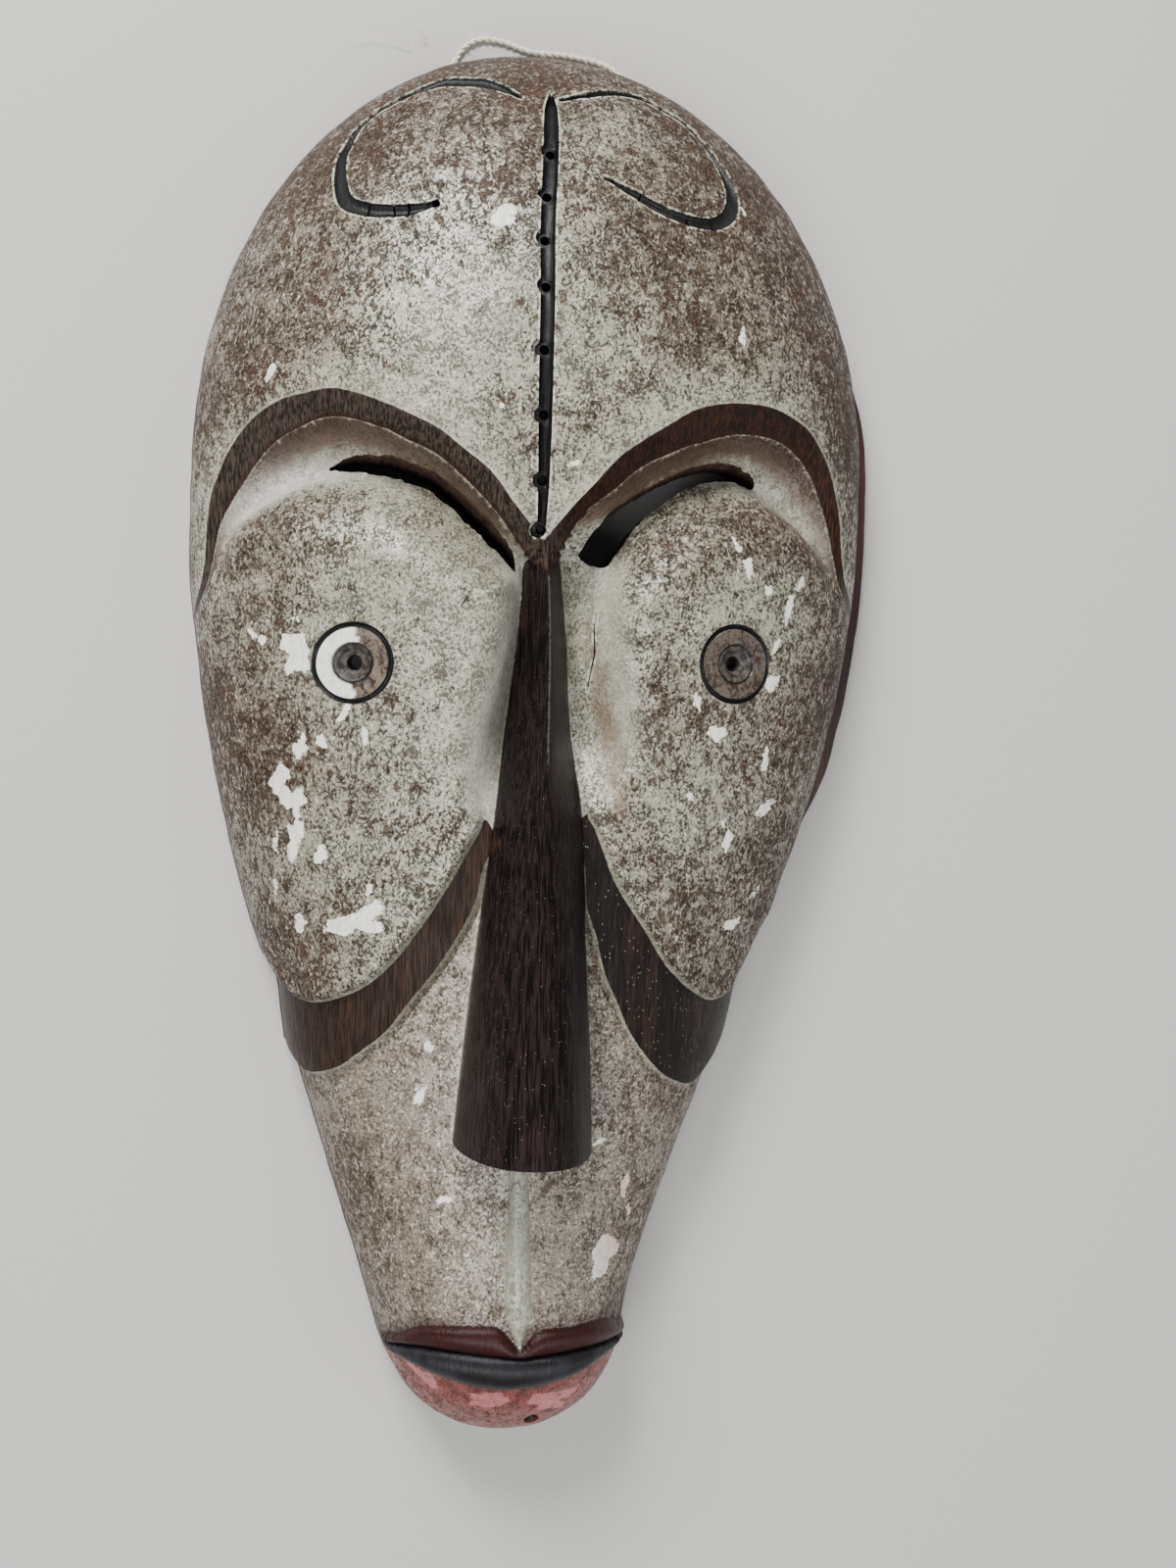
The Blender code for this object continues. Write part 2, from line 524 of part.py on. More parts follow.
class Unroll:
    """Stretches the plan near its outline, where the walls are steep."""

    def __init__(self, ring):
        offset = ring - CENTRE
        angle = np.arctan2(offset[:, 1], offset[:, 0])
        order = np.argsort(angle)
        self.angle = angle[order]
        self.reach = np.hypot(*offset.T)[order]

    def radius(self, angle):
        return np.interp(angle, self.angle, self.reach, period=2 * math.pi)

    def out(self, points):
        offset = points - CENTRE
        share = np.hypot(*offset.T) / self.radius(np.arctan2(offset[:, 1], offset[:, 0]))
        share = np.clip(share, 1e-9, 1)
        return CENTRE + offset * (np.arcsin(share) / share)[:, None]

    def back(self, points):
        offset = points - CENTRE
        share = np.hypot(*offset.T) / self.radius(np.arctan2(offset[:, 1], offset[:, 0]))
        share = np.clip(share, 1e-9, math.pi / 2)
        return CENTRE + offset * (np.sin(share) / share)[:, None]


def spaced(line, spacing):
    """A polyline resampled at even spacing, ends kept."""
    steps = np.concatenate([[0], np.cumsum(np.hypot(*np.diff(line[:, :2], axis=0).T))])
    count = max(int(round(steps[-1] / spacing)), 2)
    at = np.linspace(0, steps[-1], count + 1)
    return np.column_stack([np.interp(at, steps, line[:, i]) for i in (0, 1)])


def shifted(line, offset):
    """A polyline moved sideways in the plan."""
    tangent = np.gradient(line, axis=0)
    tangent /= np.linalg.norm(tangent, axis=1, keepdims=True)
    return line + offset * np.column_stack([-tangent[:, 1], tangent[:, 0]])


def between(upper, lower):
    """The line halfway between two lines that run the same way in x."""
    y = (upper[:, 1] + np.interp(upper[:, 0], lower[:, 0], lower[:, 1])) / 2
    return np.column_stack([upper[:, 0], y])[1:-1]


def circle(centre, radius, count):
    turn = np.arange(count) * 2 * math.pi / count
    return np.column_stack([centre[0] + radius * np.cos(turn), centre[1] + radius * np.sin(turn)])


def triangulate(ring, lines, loops, holes, spacing, keep_out=()):
    """Plan triangles inside a ring, along open lines and round closed loops.

    Gives the points, the faces, and where each ring and hole point went.
    """
    unroll = Unroll(ring)
    shrunk = ring + OUTLINE_MARGIN * (CENTRE - ring)
    chains = [(ring, True)] + [(hole, True) for hole in holes] + [(loop, True) for loop in loops]
    chains += [(line[inside(line, shrunk)], False) for line in lines]
    points, edges, starts, total = [], [], [], 0
    for chain, closed in chains:
        starts.append(total)
        if len(chain) < 2:
            continue
        count = len(chain)
        edges += [(total + i, total + (i + 1) % count) for i in range(count if closed else count - 1)]
        points.append(chain)
        total += count
    exact = np.vstack(points)
    fixed = unroll.out(exact)
    low, high = fixed.min(axis=0), fixed.max(axis=0)
    grid = []
    for row, y in enumerate(np.arange(low[1], high[1], spacing * math.sqrt(3) / 2)):
        x = np.arange(low[0] + (row % 2) * spacing / 2, high[0], spacing)
        grid.append(np.column_stack([x, np.full(len(x), y)]))
    grid = np.vstack(grid)
    grid = grid[inside(grid, unroll.out(ring))]
    for start, end in edges:
        gap, _ = nearest(grid, fixed[[start, end]])
        grid = grid[gap > spacing * LOOSE_POINT_GAP]
    for polygon in list(holes) + list(keep_out):
        grid = grid[~inside(unroll.back(grid), polygon)]
    exact = np.vstack([exact, unroll.back(grid)])
    vectors = [Vector(p) for p in np.vstack([fixed, grid])]
    verts, _, faces, origins, _, _ = delaunay_2d_cdt(vectors, edges, [], 0, 1e-7)
    spread = np.array([tuple(v) for v in verts])
    result = unroll.back(spread)
    went = np.full(len(exact), -1)
    for index, sources in enumerate(origins):
        if sources:
            result[index] = exact[sources[0]]
            went[list(sources)] = index
    faces = np.array(faces)
    middle = spread[faces].mean(axis=1)
    good = inside(middle, fixed[:len(ring)])
    for start, (hole, _) in zip(starts[1:], chains[1:1 + len(holes)]):
        good &= ~inside(middle, fixed[start:start + len(hole)])
    faces = faces[good]
    a, b, c = (spread[faces[:, i]] for i in range(3))
    turn = (b[:, 0] - a[:, 0]) * (c[:, 1] - a[:, 1]) - (b[:, 1] - a[:, 1]) * (c[:, 0] - a[:, 0])
    faces[turn < 0] = faces[turn < 0][:, ::-1]
    borders = [went[start:start + len(chain)] for start, (chain, _) in zip(starts, chains)]
    return result, faces, borders[:1 + len(holes)]


def front_lines():
    """Lines of the front that its triangles follow."""
    lines = []
    for side in (-1, 1):
        for line, step in ((brow_outer, BROW_STEP), (brow_inner, EDGE_STEP), (band_low, EDGE_STEP)):
            lines.append(spaced(line[side], step))
        edge = spaced(cheek_edge[side], CHEEK_STEP)
        slit = slit_outline(side)
        gap, _ = nearest(edge, np.vstack([slit, slit[:1]]))
        lower = edge[gap > SLIT_CLEARANCE]
        breaks = np.where(np.hypot(*np.diff(lower, axis=0).T) > 1.4 * CHEEK_STEP)[0] + 1
        lines += [part for part in np.split(lower, breaks) if len(part) > 1]
        bevel = spaced(shifted(cheek_edge[side][:, :2], side * BAND_DROP), EDGE_STEP)
        lines.append(bevel[bevel[:, 1] < BEVEL_TOP_Y])
        rounding = cheek_edge[side][:, 3] * ROUNDING_LINE
        crest_line = spaced(shifted(cheek_edge[side][:, :2], side * rounding[:, None]), ROUNDING_STEP)
        lines.append(crest_line[crest_line[:, 1] > ROUNDING_LOW_Y])
        lines.append(spaced(shifted(band_low[side][:, :2], -side * BEVEL_WIDTH), EDGE_STEP))
    for line, width in [(centre_groove, GROOVE_WIDTH)] + [(horn, HORN_WIDTH) for horn in horns]:
        middle = spaced(line, GROOVE_STEP)
        lines += [middle[1:-1], shifted(middle, width / 2), shifted(middle, -width / 2)]
    for line in (lip_top, mouth, lip_low, between(lip_top, mouth), between(mouth, lip_low)):
        lines.append(spaced(line, LIP_STEP))
    lines.append(philtrum[:, :2])
    for side in (-1, 1):
        lines.append(philtrum[:, :2] + np.column_stack([side * philtrum[:, 2], np.zeros(len(philtrum))]))
    return lines


def slit_outline(side):
    """Closed plan outline of an eye slit."""
    top, low = (SLIT_TOP_L, SLIT_LOW_L) if side < 0 else (SLIT_TOP_R, SLIT_LOW_R)
    return plan(top + low)


def nose_lines():
    """Columns of the nose, and the foot of its square-cut end."""
    rows = spaced(np.column_stack([nose[:, 1], nose[:, 0]]), NOSE_STEP)
    y = rows[:, 1]
    lines = []
    for share in NOSE_COLUMNS:
        lines.append(np.column_stack([nose_axis(y) + share * nose_half(y), y]))
    end = np.array([column[0] for column in lines])
    foot = end - [0, NOSE_FOOT_GAP]
    return lines, end, foot


def build_mask_mesh():
    """The whole shell as one closed mesh."""
    ring = outline(RING_POINTS, half_width, 0.0)
    columns, nose_end, nose_foot = nose_lines()
    holes = [slit_outline(-1), slit_outline(1)]
    loops = []
    for centre in stitch_holes():
        loops += [circle(centre, STITCH_HOLE_DIAMETER * share, 6) for share in STITCH_RINGS]
    for centre in eye_centres():
        for offset in (-0.5, 0, 0.5):
            loops.append(circle(centre, EYE_RING_RADIUS + offset * EYE_RING_WIDTH, 16))
        loops += [circle(centre, PUPIL_RADIUS, 10), circle(centre, PUPIL_HOLE_RADIUS, 6),
                  circle(centre, PUPIL_HOLE_RADIUS * PUPIL_FLOOR, 6)]
    lines = front_lines() + columns + [nose_end, nose_foot]
    nose_area = np.vstack([columns[0], columns[-1][::-1]])
    front, front_faces, front_borders = triangulate(ring, lines, loops, holes, FRONT_SPACING, [nose_area])
    shape = front_surface(front)
    inner_ring = outline(RING_POINTS, hollow_half_width, RIM_WALL)
    back_holes = [shape[border, :2] for border in front_borders[1:]]
    back, back_faces, back_borders = triangulate(inner_ring, [], [], back_holes, BACK_SPACING)
    back_z = hollow(*back.T)
    back_z[back_borders[0]] = 0.0
    verts = [shape, np.column_stack([back, back_z])]
    faces = [front_faces, back_faces[:, ::-1] + len(shape)]
    total = len(shape) + len(back)

    # Rim: a band below the front's edge, and a flat ring to lie on
    edge = shape[front_borders[0], :2]
    rim = edge + ring_normals(edge) * rim_reach(edge)[:, None]
    levels = [front_borders[0]]
    for height in (RIM_BAND_HEIGHT - RIM_BAND_TOP_GAP, 0.0):
        verts.append(np.column_stack([rim, np.full(RING_POINTS, height)]))
        levels.append(total + np.arange(RING_POINTS))
        total += RING_POINTS
    levels.append(len(shape) + back_borders[0])
    for upper, lower in zip(levels, levels[1:]):
        faces += wall(upper, lower)[::-1]

    # Walls of the eye slits
    for hole, upper, lower in zip(holes, front_borders[1:], back_borders[1:]):
        turned = np.sum(hole[:, 0] * np.roll(hole[:, 1], -1) - np.roll(hole[:, 0], -1) * hole[:, 1]) > 0
        strips = wall(upper, lower + len(shape))
        faces += [strip[:, ::-1] for strip in strips] if turned else strips
    return np.vstack(verts), np.vstack(faces)


def wall(upper, lower):
    """Two triangles between each pair of neighbours on two closed rings."""
    return [np.column_stack([upper, lower, np.roll(lower, -1)]),
            np.column_stack([upper, np.roll(lower, -1), np.roll(upper, -1)])]


def rim_reach(points):
    """How far the rim stands out past the front; it flares beside the right cheek."""
    y = points[:, 1]
    right = ramp(*FLARE_LOW_Y, y) * ramp(*FLARE_HIGH_Y, y) * (points[:, 0] > 0)
    return RIM_LIP + RIM_FLARE * right


def material(name, colour, roughness):
    """A plain Principled material."""
    mat = bpy.data.materials.new(name)
    mat.use_nodes = True
    shader = mat.node_tree.nodes["Principled BSDF"]
    shader.inputs["Base Color"].default_value = (*colour, 1)
    shader.inputs["Roughness"].default_value = roughness
    shader.inputs["Metallic"].default_value = 0
    mat.diffuse_color = (*colour, 1)
    return mat


def add_object(name, mesh, mat):
    obj = bpy.data.objects.new(name, mesh)
    bpy.context.scene.collection.objects.link(obj)
    mesh.materials.append(mat)
    return obj


def mesh_from(name, verts, faces):
    mesh = bpy.data.meshes.new(name)
    mesh.from_pydata([tuple(v) for v in verts], [], [tuple(int(i) for i in f) for f in faces])
    mesh.update()
    return mesh


def rim_hole_places():
    """Places and outward directions of the holes round the rim."""
    ring = front_surface(outline(RING_POINTS * 6, half_width, 0.0))[:, :2]
    outward = ring_normals(ring)
    closed = np.vstack([ring, ring[:1]])
    steps = np.concatenate([[0], np.cumsum(np.hypot(*np.diff(closed, axis=0).T))])
    count = int(round(steps[-1] / RIM_HOLE_SPACING))
    at = (np.arange(count) + RIM_HOLE_PHASE) * steps[-1] / count
    index = np.searchsorted(steps, at) % len(ring)
    return ring[index], outward[index]


def build_rim_cutter(places, outward):
    """Eight-sided drills through the rim, all in one cutter."""
    length = RIM_WALL * 2 + RIM_FLARE
    bm = bmesh.new()
    for place, direction in zip(places, outward):
        drilled = bmesh.ops.create_cone(bm, cap_ends=True, segments=8, radius1=RIM_HOLE_DIAMETER / 2,
                                        radius2=RIM_HOLE_DIAMETER / 2, depth=length * 1.6)
        turn = Vector((direction[0], direction[1], 0)).to_track_quat("Z", "Y").to_matrix()
        bmesh.ops.rotate(bm, verts=drilled["verts"], cent=(0, 0, 0), matrix=turn)
        bmesh.ops.translate(bm, verts=drilled["verts"], vec=(place[0], place[1], RIM_HOLE_HEIGHT))
    mesh = bpy.data.meshes.new("rim_drills")
    bm.to_mesh(mesh)
    bm.free()
    cutter = bpy.data.objects.new("rim_drills", mesh)
    bpy.context.scene.collection.objects.link(cutter)
    cutter.hide_render = True
    cutter.display_type = "WIRE"
    return cutter


def twine_holes(places):
    """The two rim holes nearest to where the twine is drawn."""
    wanted = plan(TWINE_HOLES)
    return [int(np.argmin(((places - each) ** 2).sum(axis=1))) for each in wanted]


def knot_centre(place, direction):
    """Centre of a stopper knot, against the inner side of the rim."""
    inward = rim_depth() + GAP + KNOT_DIAMETER / 2
    return np.array([*(place - direction * inward), RIM_HOLE_HEIGHT])


def rim_depth():
    """From the front's edge to the hollow's wall at the height of the holes."""
    return RIM_WALL + HOLLOW_WALL_LEAN * RIM_HOLE_HEIGHT


def twine_route(places, outward):
    """Smooth line of the twine: out of one hole, along the floor, into the other."""
    first, second = twine_holes(places)
    floor = TWINE_DIAMETER / 2 + TWINE_FLOOR_GAP

    def straight(index):
        reach = (-rim_depth(), -rim_depth() / 2, 0.0, TWINE_STRAIGHT)
        return [[*(places[index] + outward[index] * out), RIM_HOLE_HEIGHT] for out in reach]

    span = places[second] - places[first]
    away = np.array([-span[1], span[0]]) / np.linalg.norm(span)
    points = straight(first)
    for share, out in TWINE_OUTSIDE:
        points.append([*(places[first] + span * share + away * out * 0.001), floor])
    points += straight(second)[::-1]
    line = smooth_line(points, 12)
    steps = np.concatenate([[0], np.cumsum(np.linalg.norm(np.diff(line, axis=0), axis=1))])
    at = np.linspace(0, steps[-1], int(round(steps[-1] / TWINE_STEP)) + 1)
    return np.column_stack([np.interp(at, steps, line[:, i]) for i in range(3)])


def build_twine(route, mat):
    """The twine as one tube on a poly spline."""
    curve = bpy.data.curves.new("hanging_twine", "CURVE")
    curve.dimensions = "3D"
    curve.bevel_depth = TWINE_DIAMETER / 2
    curve.bevel_resolution = 2
    curve.use_fill_caps = True
    spline = curve.splines.new("POLY")
    spline.points.add(len(route) - 1)
    for point, place in zip(spline.points, route):
        point.co = (*place, 1)
    curve.materials.append(mat)
    twine = bpy.data.objects.new("hanging_twine", curve)
    bpy.context.scene.collection.objects.link(twine)


def build_knot(name, centre, mat):
    """A tight stopper knot, as a plain ball."""
    bm = bmesh.new()
    bmesh.ops.create_icosphere(bm, subdivisions=2, radius=KNOT_DIAMETER / 2)
    mesh = bpy.data.meshes.new(name)
    bm.to_mesh(mesh)
    bm.free()
    mesh.shade_smooth()
    knot = add_object(name, mesh, mat)
    knot.location = centre


def main():
    for obj in list(bpy.data.objects):
        bpy.data.objects.remove(obj)
    verts, faces = build_mask_mesh()
    low, high = verts.min(axis=0), verts.max(axis=0)
    middle = np.array([(low[0] + high[0]) / 2, (low[1] + high[1]) / 2])
    shift = np.array([*middle, 0])

    wood = material("weathered_kaolin_wood", (0.36, 0.34, 0.27), 0.6)
    mask = add_object("carved_mask", mesh_from("carved_mask", verts - shift, faces), wood)
    places, outward = rim_hole_places()
    drill = mask.modifiers.new("rim_holes", "BOOLEAN")
    drill.operation = "DIFFERENCE"
    drill.object = build_rim_cutter(places - middle, outward)
    drill.solver = "EXACT"

    fibre = material("natural_twine", (0.62, 0.55, 0.42), 0.9)
    build_twine(twine_route(places, outward) - shift, fibre)
    for name, index in zip(("twine_knot_left", "twine_knot_right"), twine_holes(places)):
        build_knot(name, knot_centre(places[index], outward[index]) - shift, fibre)


main()
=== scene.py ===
"""Carved wooden face mask lying on its rim, finished in worn pale paint and dark wood.

The mask's front is worked out as in its solids, from a base dome that is
pushed in and out, but with a much finer mesh. Signed distances to the drawn
lines are kept on the vertices, and the materials turn them into paint edges.
"""

import math

import bmesh
import bpy
import numpy as np
from mathutils import Matrix, Vector
from mathutils.geometry import delaunay_2d_cdt
from mathutils.kdtree import KDTree


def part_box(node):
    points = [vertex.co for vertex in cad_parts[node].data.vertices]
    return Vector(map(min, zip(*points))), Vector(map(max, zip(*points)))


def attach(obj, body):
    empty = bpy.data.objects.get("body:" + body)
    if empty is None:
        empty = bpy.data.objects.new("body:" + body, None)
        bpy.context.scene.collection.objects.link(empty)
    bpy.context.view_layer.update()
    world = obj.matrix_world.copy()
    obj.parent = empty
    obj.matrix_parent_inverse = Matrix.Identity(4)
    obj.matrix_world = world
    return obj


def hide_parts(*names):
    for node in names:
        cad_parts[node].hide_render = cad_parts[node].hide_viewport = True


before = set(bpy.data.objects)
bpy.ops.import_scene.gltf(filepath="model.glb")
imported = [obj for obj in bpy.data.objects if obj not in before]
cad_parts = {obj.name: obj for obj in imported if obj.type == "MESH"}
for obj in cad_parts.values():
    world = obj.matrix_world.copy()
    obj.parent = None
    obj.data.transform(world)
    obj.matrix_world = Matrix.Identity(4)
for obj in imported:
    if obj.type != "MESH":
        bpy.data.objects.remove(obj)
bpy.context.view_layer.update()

# Driving sizes of the solids, in metres
MASK_LENGTH = 0.480
MASK_WIDTH = 0.236
FOREHEAD_HEIGHT = 0.088
RIM_WALL = 0.011
RIM_BAND_HEIGHT = 0.009
HOLLOW_HEIGHT = 0.070
RIM_HOLE_DIAMETER = 0.0045
RIM_HOLE_HEIGHT = 0.005
RIM_HOLE_SPACING = 0.0321
RIM_HOLE_PHASE = 0.86
TWINE_DIAMETER = 0.0022
KNOT_DIAMETER = 0.0064

# Camera: place, turn about the long axis, roll, and lens
CAMERA_PLACE = (-0.06807, -0.01375, 0.64367)
CAMERA_TURN = math.radians(8.0)
CAMERA_ROLL = math.radians(1.5)
CAMERA_SENSOR = 36.0
CAMERA_LENS = 41.08
# Lights: name, place, target, size, power and tint
LIGHTS = (("key", (-0.45, 1.05, 1.05), (0, 0.06, 0.05), (0.5, 0.5), 36.0, (1.0, 0.99, 0.97)),
          ("front", (-0.32, -0.62, 1.2), (0, 0, 0.04), (0.7, 0.7), 13.0, (1.0, 1.0, 1.0)),
          ("fill", (0.9, -0.6, 0.8), (0, 0, 0.04), (0.9, 0.9), 4.0, (0.96, 0.98, 1.0)))
WORLD_TINT = (0.93, 0.96, 1.0, 1)
WORLD_STRENGTH = 0.38
FLOOR_REACH = 3

# Carving sizes, in metres
GROOVE_DEPTH = 0.0024
HORN_DEPTH = 0.0017
NOTCH_DEPTH = 0.0028
STITCH_HOLE_DIAMETER = 0.0032
STITCH_HOLE_DEPTH = 0.0060
STITCH_NOTCH_RADIUS = 0.0025
STITCH_NOTCH_SHIFT = np.array([0.0007, 0.0])
HORN_HOLE_RADIUS = 0.0012
HORN_HOLE_DARK_RADIUS = 0.0014
EYE_RING_RADIUS = 0.0122
PUPIL_RADIUS = 0.0063
PUPIL_HOLE_RADIUS = 0.0024
PUPIL_CONE_DEPTH = 0.0022
PUPIL_HOLE_DEPTH = 0.0035
# Radius, width and depth of the lines turned into an eye
EYE_LINES = ((EYE_RING_RADIUS, 0.0018, 0.0013), (PUPIL_RADIUS, 0.0009, 0.0006), (0.0043, 0.0009, 0.0004))
CRACK_DEPTH = 0.0006
BAND_DROP = 0.0030
MUZZLE_DROP = 0.0060
BEVEL_WIDTH = 0.0025
LIP_HEIGHT = 0.0030
PHILTRUM_HEIGHT = 0.0023
RIM_LIP = 0.0006
RIM_FLARE = 0.0046
# Section of the rim, from the front's edge down: share of its reach, and height
RIM_SECTION = ((0.55, 0.0086), (1.0, 0.0078), (1.0, 0.0006), (0.7, 0.0))
RIM_DRILL_LENGTH = 0.045
RIM_DRILL_SIDES = 20
# Waves in the carved surface and in the edges of the slits: seed, wavelength and height
SURFACE_WAVES = ((3, 0.016, 0.00012), (4, 0.007, 0.00005))
SLIT_WAVES = ((21, 0.0032, 0.00022), (31, 0.0070, 0.00018))
# Tool cuts in the hollow back
GOUGE_COUNT = 900
GOUGE_DEPTH = 0.0009
GOUGE_RADIUS = 0.0050
GOUGE_STRETCH = np.array([1.0, 0.45])

# Exponents of the rounded sections: 2 is an ellipse, more is fuller
DOME_ROUNDNESS = 2.2
END_ROUNDNESS = 2.5
HOLLOW_ROUNDNESS = 2.4
NOSE_TOP_SECTION = 1.2
NOSE_LOW_SECTION = 2.2
LIP_ROUNDNESS = 0.6
SOCKET_ROUNDNESS = 1.5
# Shares of the half width between which the lips fade out
LIP_FADE = (1.0, 0.86)

# Mesh spacing, in metres of unrolled surface
WIDE_SPACING = 0.0025
FINE_SPACING = 0.0013
FINE_REACH = 0.0040
BACK_SPACING = 0.0040
RING_POINTS = 480
RIM_HOLE_RING_POINTS = 672
LINE_STEP = 0.0014
GROOVE_STEP = 0.0010
MERGE_DISTANCE = 1e-7
SHARP_FROM_DEGREES = 38
OUTLINE_END_POINTS = 61
OUTLINE_FLANK_POINTS = 120
# Share of the outline within which drawn lines are kept, and share of the spacing kept clear of them
LINES_WITHIN = 0.9985
CLEAR_OF_LINES = 0.6
# Lines along a groove and along the philtrum, as shares of the width and of the half width
GROOVE_LINE_SHARES = (-0.5, -0.47, -0.3, 0.3, 0.47, 0.5)
PHILTRUM_LINE_SHARES = (-1, -0.6, -0.25, 0.25, 0.6, 1)
NARROW_GROOVE = 0.002
SLIT_CLEARANCE = 0.0012
# Circles round an eye, besides those along its turned lines
EYE_MESH_RADII = [PUPIL_HOLE_RADIUS * 0.95, PUPIL_HOLE_RADIUS * 1.05, 0.0033, 0.0054, 0.0078, 0.0096, 0.0138]
EYE_LINE_SHARES = (-0.54, -0.47, -0.25, 0, 0.25, 0.47, 0.54)
# Circles round the small holes: radii of the horn's, shares of the others' diameter or radius
HORN_HOLE_CIRCLES = (0.0011, 0.0013)
STITCH_CIRCLES = (0.44, 0.5)
NOTCH_CIRCLES = (0.96, 1.0)
CHIN_SPOT_CIRCLES = (0.93, 1.03)

# Units of the drawing
UX = MASK_WIDTH / 236.0
UY = MASK_LENGTH / 480.0
UZ = FOREHEAD_HEIGHT / 88.0

# Outline: half widths at heights on the mask, then a half ellipse on each end
TOP_Y = 96 * UY
TOP_HEIGHT = 143.4 * UY
CHIN_Y = -205 * UY
CHIN_HEIGHT = 36 * UY
# Heights where the muzzle's drop fades in, where it widens, and where the rim's flare starts and ends
MUZZLE_FADE_Y = (-195 * UY, -135 * UY)
MUZZLE_WIDEN_Y = (-78 * UY, -118 * UY)
FLARE_LOW_Y = (-40 * UY, 0)
FLARE_HIGH_Y = (160 * UY, 110 * UY)
# Ends of the lines along the cheek's bevel and along the philtrum
BEVEL_TOP_Y = -30 * UY
PHILTRUM_LINES_END_Y = -190 * UY
STATION_Y = np.array([-250, -216, -186, -156, -121, -86, -50, -15, 27, 60, 96]) * UY
LEFT_HALF = np.array([42, 42, 50, 60, 71.5, 83.5, 95.5, 104, 111.5, 115, 115]) * UX
RIGHT_HALF = np.array([41, 41, 45.5, 55.5, 68.5, 82.5, 95.5, 107, 116.5, 120.5, 121]) * UX
CREST_Y = np.array([-250, -190, -156, -121, -50, 27, 96]) * UY
CREST_Z = np.array([54, 60, 64, 67, 72, 80, 88]) * UZ
HOLLOW_Y = np.array([-250, -190, -120, -60, 30, 90, 140, 170]) * UY
HOLLOW_SHARE = np.array([0.50, 0.50, 0.56, 0.60, 0.62, 0.66, 0.96, 1.0])
CENTRE = np.array([2.0 * UX, 20 * UY])

# Brow, outer edge, from each outer end to the middle
BROW_OUTER_L = [(-114, 38), (-109, 51), (-108, 63), (-107, 75), (-104, 84), (-100, 92), (-93, 100),
                (-85, 105), (-76, 107), (-67, 108), (-59, 106), (-51, 103), (-42, 99), (-34, 95),
                (-26, 89), (-17, 82), (-10, 73), (-2, 64), (0, 62)]
BROW_OUTER_R = [(119, 48), (110, 58), (107, 68), (105, 79), (102, 88), (97, 97), (91, 104), (83, 108),
                (75, 110), (67, 110), (58, 109), (48, 106), (40, 101), (31, 95), (23, 89), (16, 81),
                (8, 72), (0, 62)]
# Brow, inner edge: x, y and the drop of the chamfer there
BROW_INNER_L = [(-115, 34, 0), (-107.5, 50, 0.6), (-105.5, 66, 2), (-102, 75, 3.5), (-98, 82, 4.5),
                (-92, 90, 5), (-83, 96, 5), (-72, 100, 5), (-62, 99, 5), (-53, 96, 5), (-45, 92, 5),
                (-36, 88, 5), (-28, 82, 5), (-19, 74, 5), (-12, 66, 5), (-6, 58, 5), (1, 51, 5)]
BROW_INNER_R = [(119, 44, 0), (108, 56, 0.6), (105, 67, 2), (102.5, 76, 3), (99.5, 84, 4), (95, 92, 5),
                (88, 98, 5), (79, 101, 5), (68, 101, 5), (59, 99, 5), (49, 95, 5), (40, 91, 5),
                (31, 86, 5), (23, 79, 5), (14, 71, 5), (6, 57, 5), (1, 51, 5)]
# Cheek edge, from the outer end, under the brow, beside the nose and round below:
# x, y, drop at the edge, width of the rounding above it, and fall beyond it
CHEEK_L = [(-116, 30, 0, 5, 0), (-106, 50, 1, 6, 0), (-102.5, 64, 4, 8, 0), (-99, 71, 8, 13, 0),
           (-93, 76.5, 12, 17, 0), (-86, 80.5, 16, 21, 0), (-77, 83, 19, 25, 0), (-60, 82, 21, 28, 0),
           (-41, 77, 21, 27, 0), (-24, 65, 20, 23, 0), (-12, 55, 18, 17, 0.5), (-7.5, 48, 14, 12, 1.5),
           (-9, 34, 9, 11, 2), (-13, 15, 7, 11, 2), (-17, 0, 6, 10, 1.6), (-18, -16, 4.5, 7, 1),
           (-16, -27, 3.2, 4, 0.2), (-21, -38, 3, 3, 0), (-28, -51, 3, 3, 0), (-35, -62, 3, 3, 0),
           (-43, -73, 3, 3, 0), (-52, -82, 3, 3, 0), (-61, -87, 3, 3, 0), (-70, -90, 3, 3, 0),
           (-77, -89, 3, 3, 0), (-84, -83, 3, 3, 0), (-94, -70, 3, 3, 0)]
CHEEK_R = [(120, 40, 0, 5, 0), (107, 53, 1, 6, 0), (102, 64, 4, 8, 0), (98, 71, 8, 13, 0),
           (92.5, 77, 12, 17, 0), (85, 82.5, 16, 21, 0), (76, 86, 19, 25, 0), (65, 85, 21, 28, 0),
           (52, 80, 21, 27, 0), (38, 70, 20, 23, 0), (28, 58, 18, 17, 0.5), (24, 50, 14, 13, 0.9),
           (23, 42, 10, 13, 0.9), (26, 26, 7, 13, 0.9), (30, 14, 6, 12, 0.9), (30, -2, 6, 10, 0.9),
           (23, -17, 4.5, 7, 0.6), (18, -24, 3.5, 4, 0.2), (21, -30, 3, 3, 0), (28, -46, 3, 3, 0),
           (34, -55, 3, 3, 0), (40, -63, 3, 3, 0), (47, -73, 3, 3, 0), (54, -80, 3, 3, 0),
           (62, -85.5, 3, 3, 0), (69, -88, 3, 3, 0), (75, -86.5, 3, 3, 0), (79, -80, 3, 3, 0),
           (90, -62, 3, 3, 0)]
# Points of the cheek edge where the brow's shade ends, and where the nose's side and the bands start
UNDER_BROW_END = 9.0
NOSE_SIDE_START = 11.0
BAND_START = {-1: 16, 1: 17}
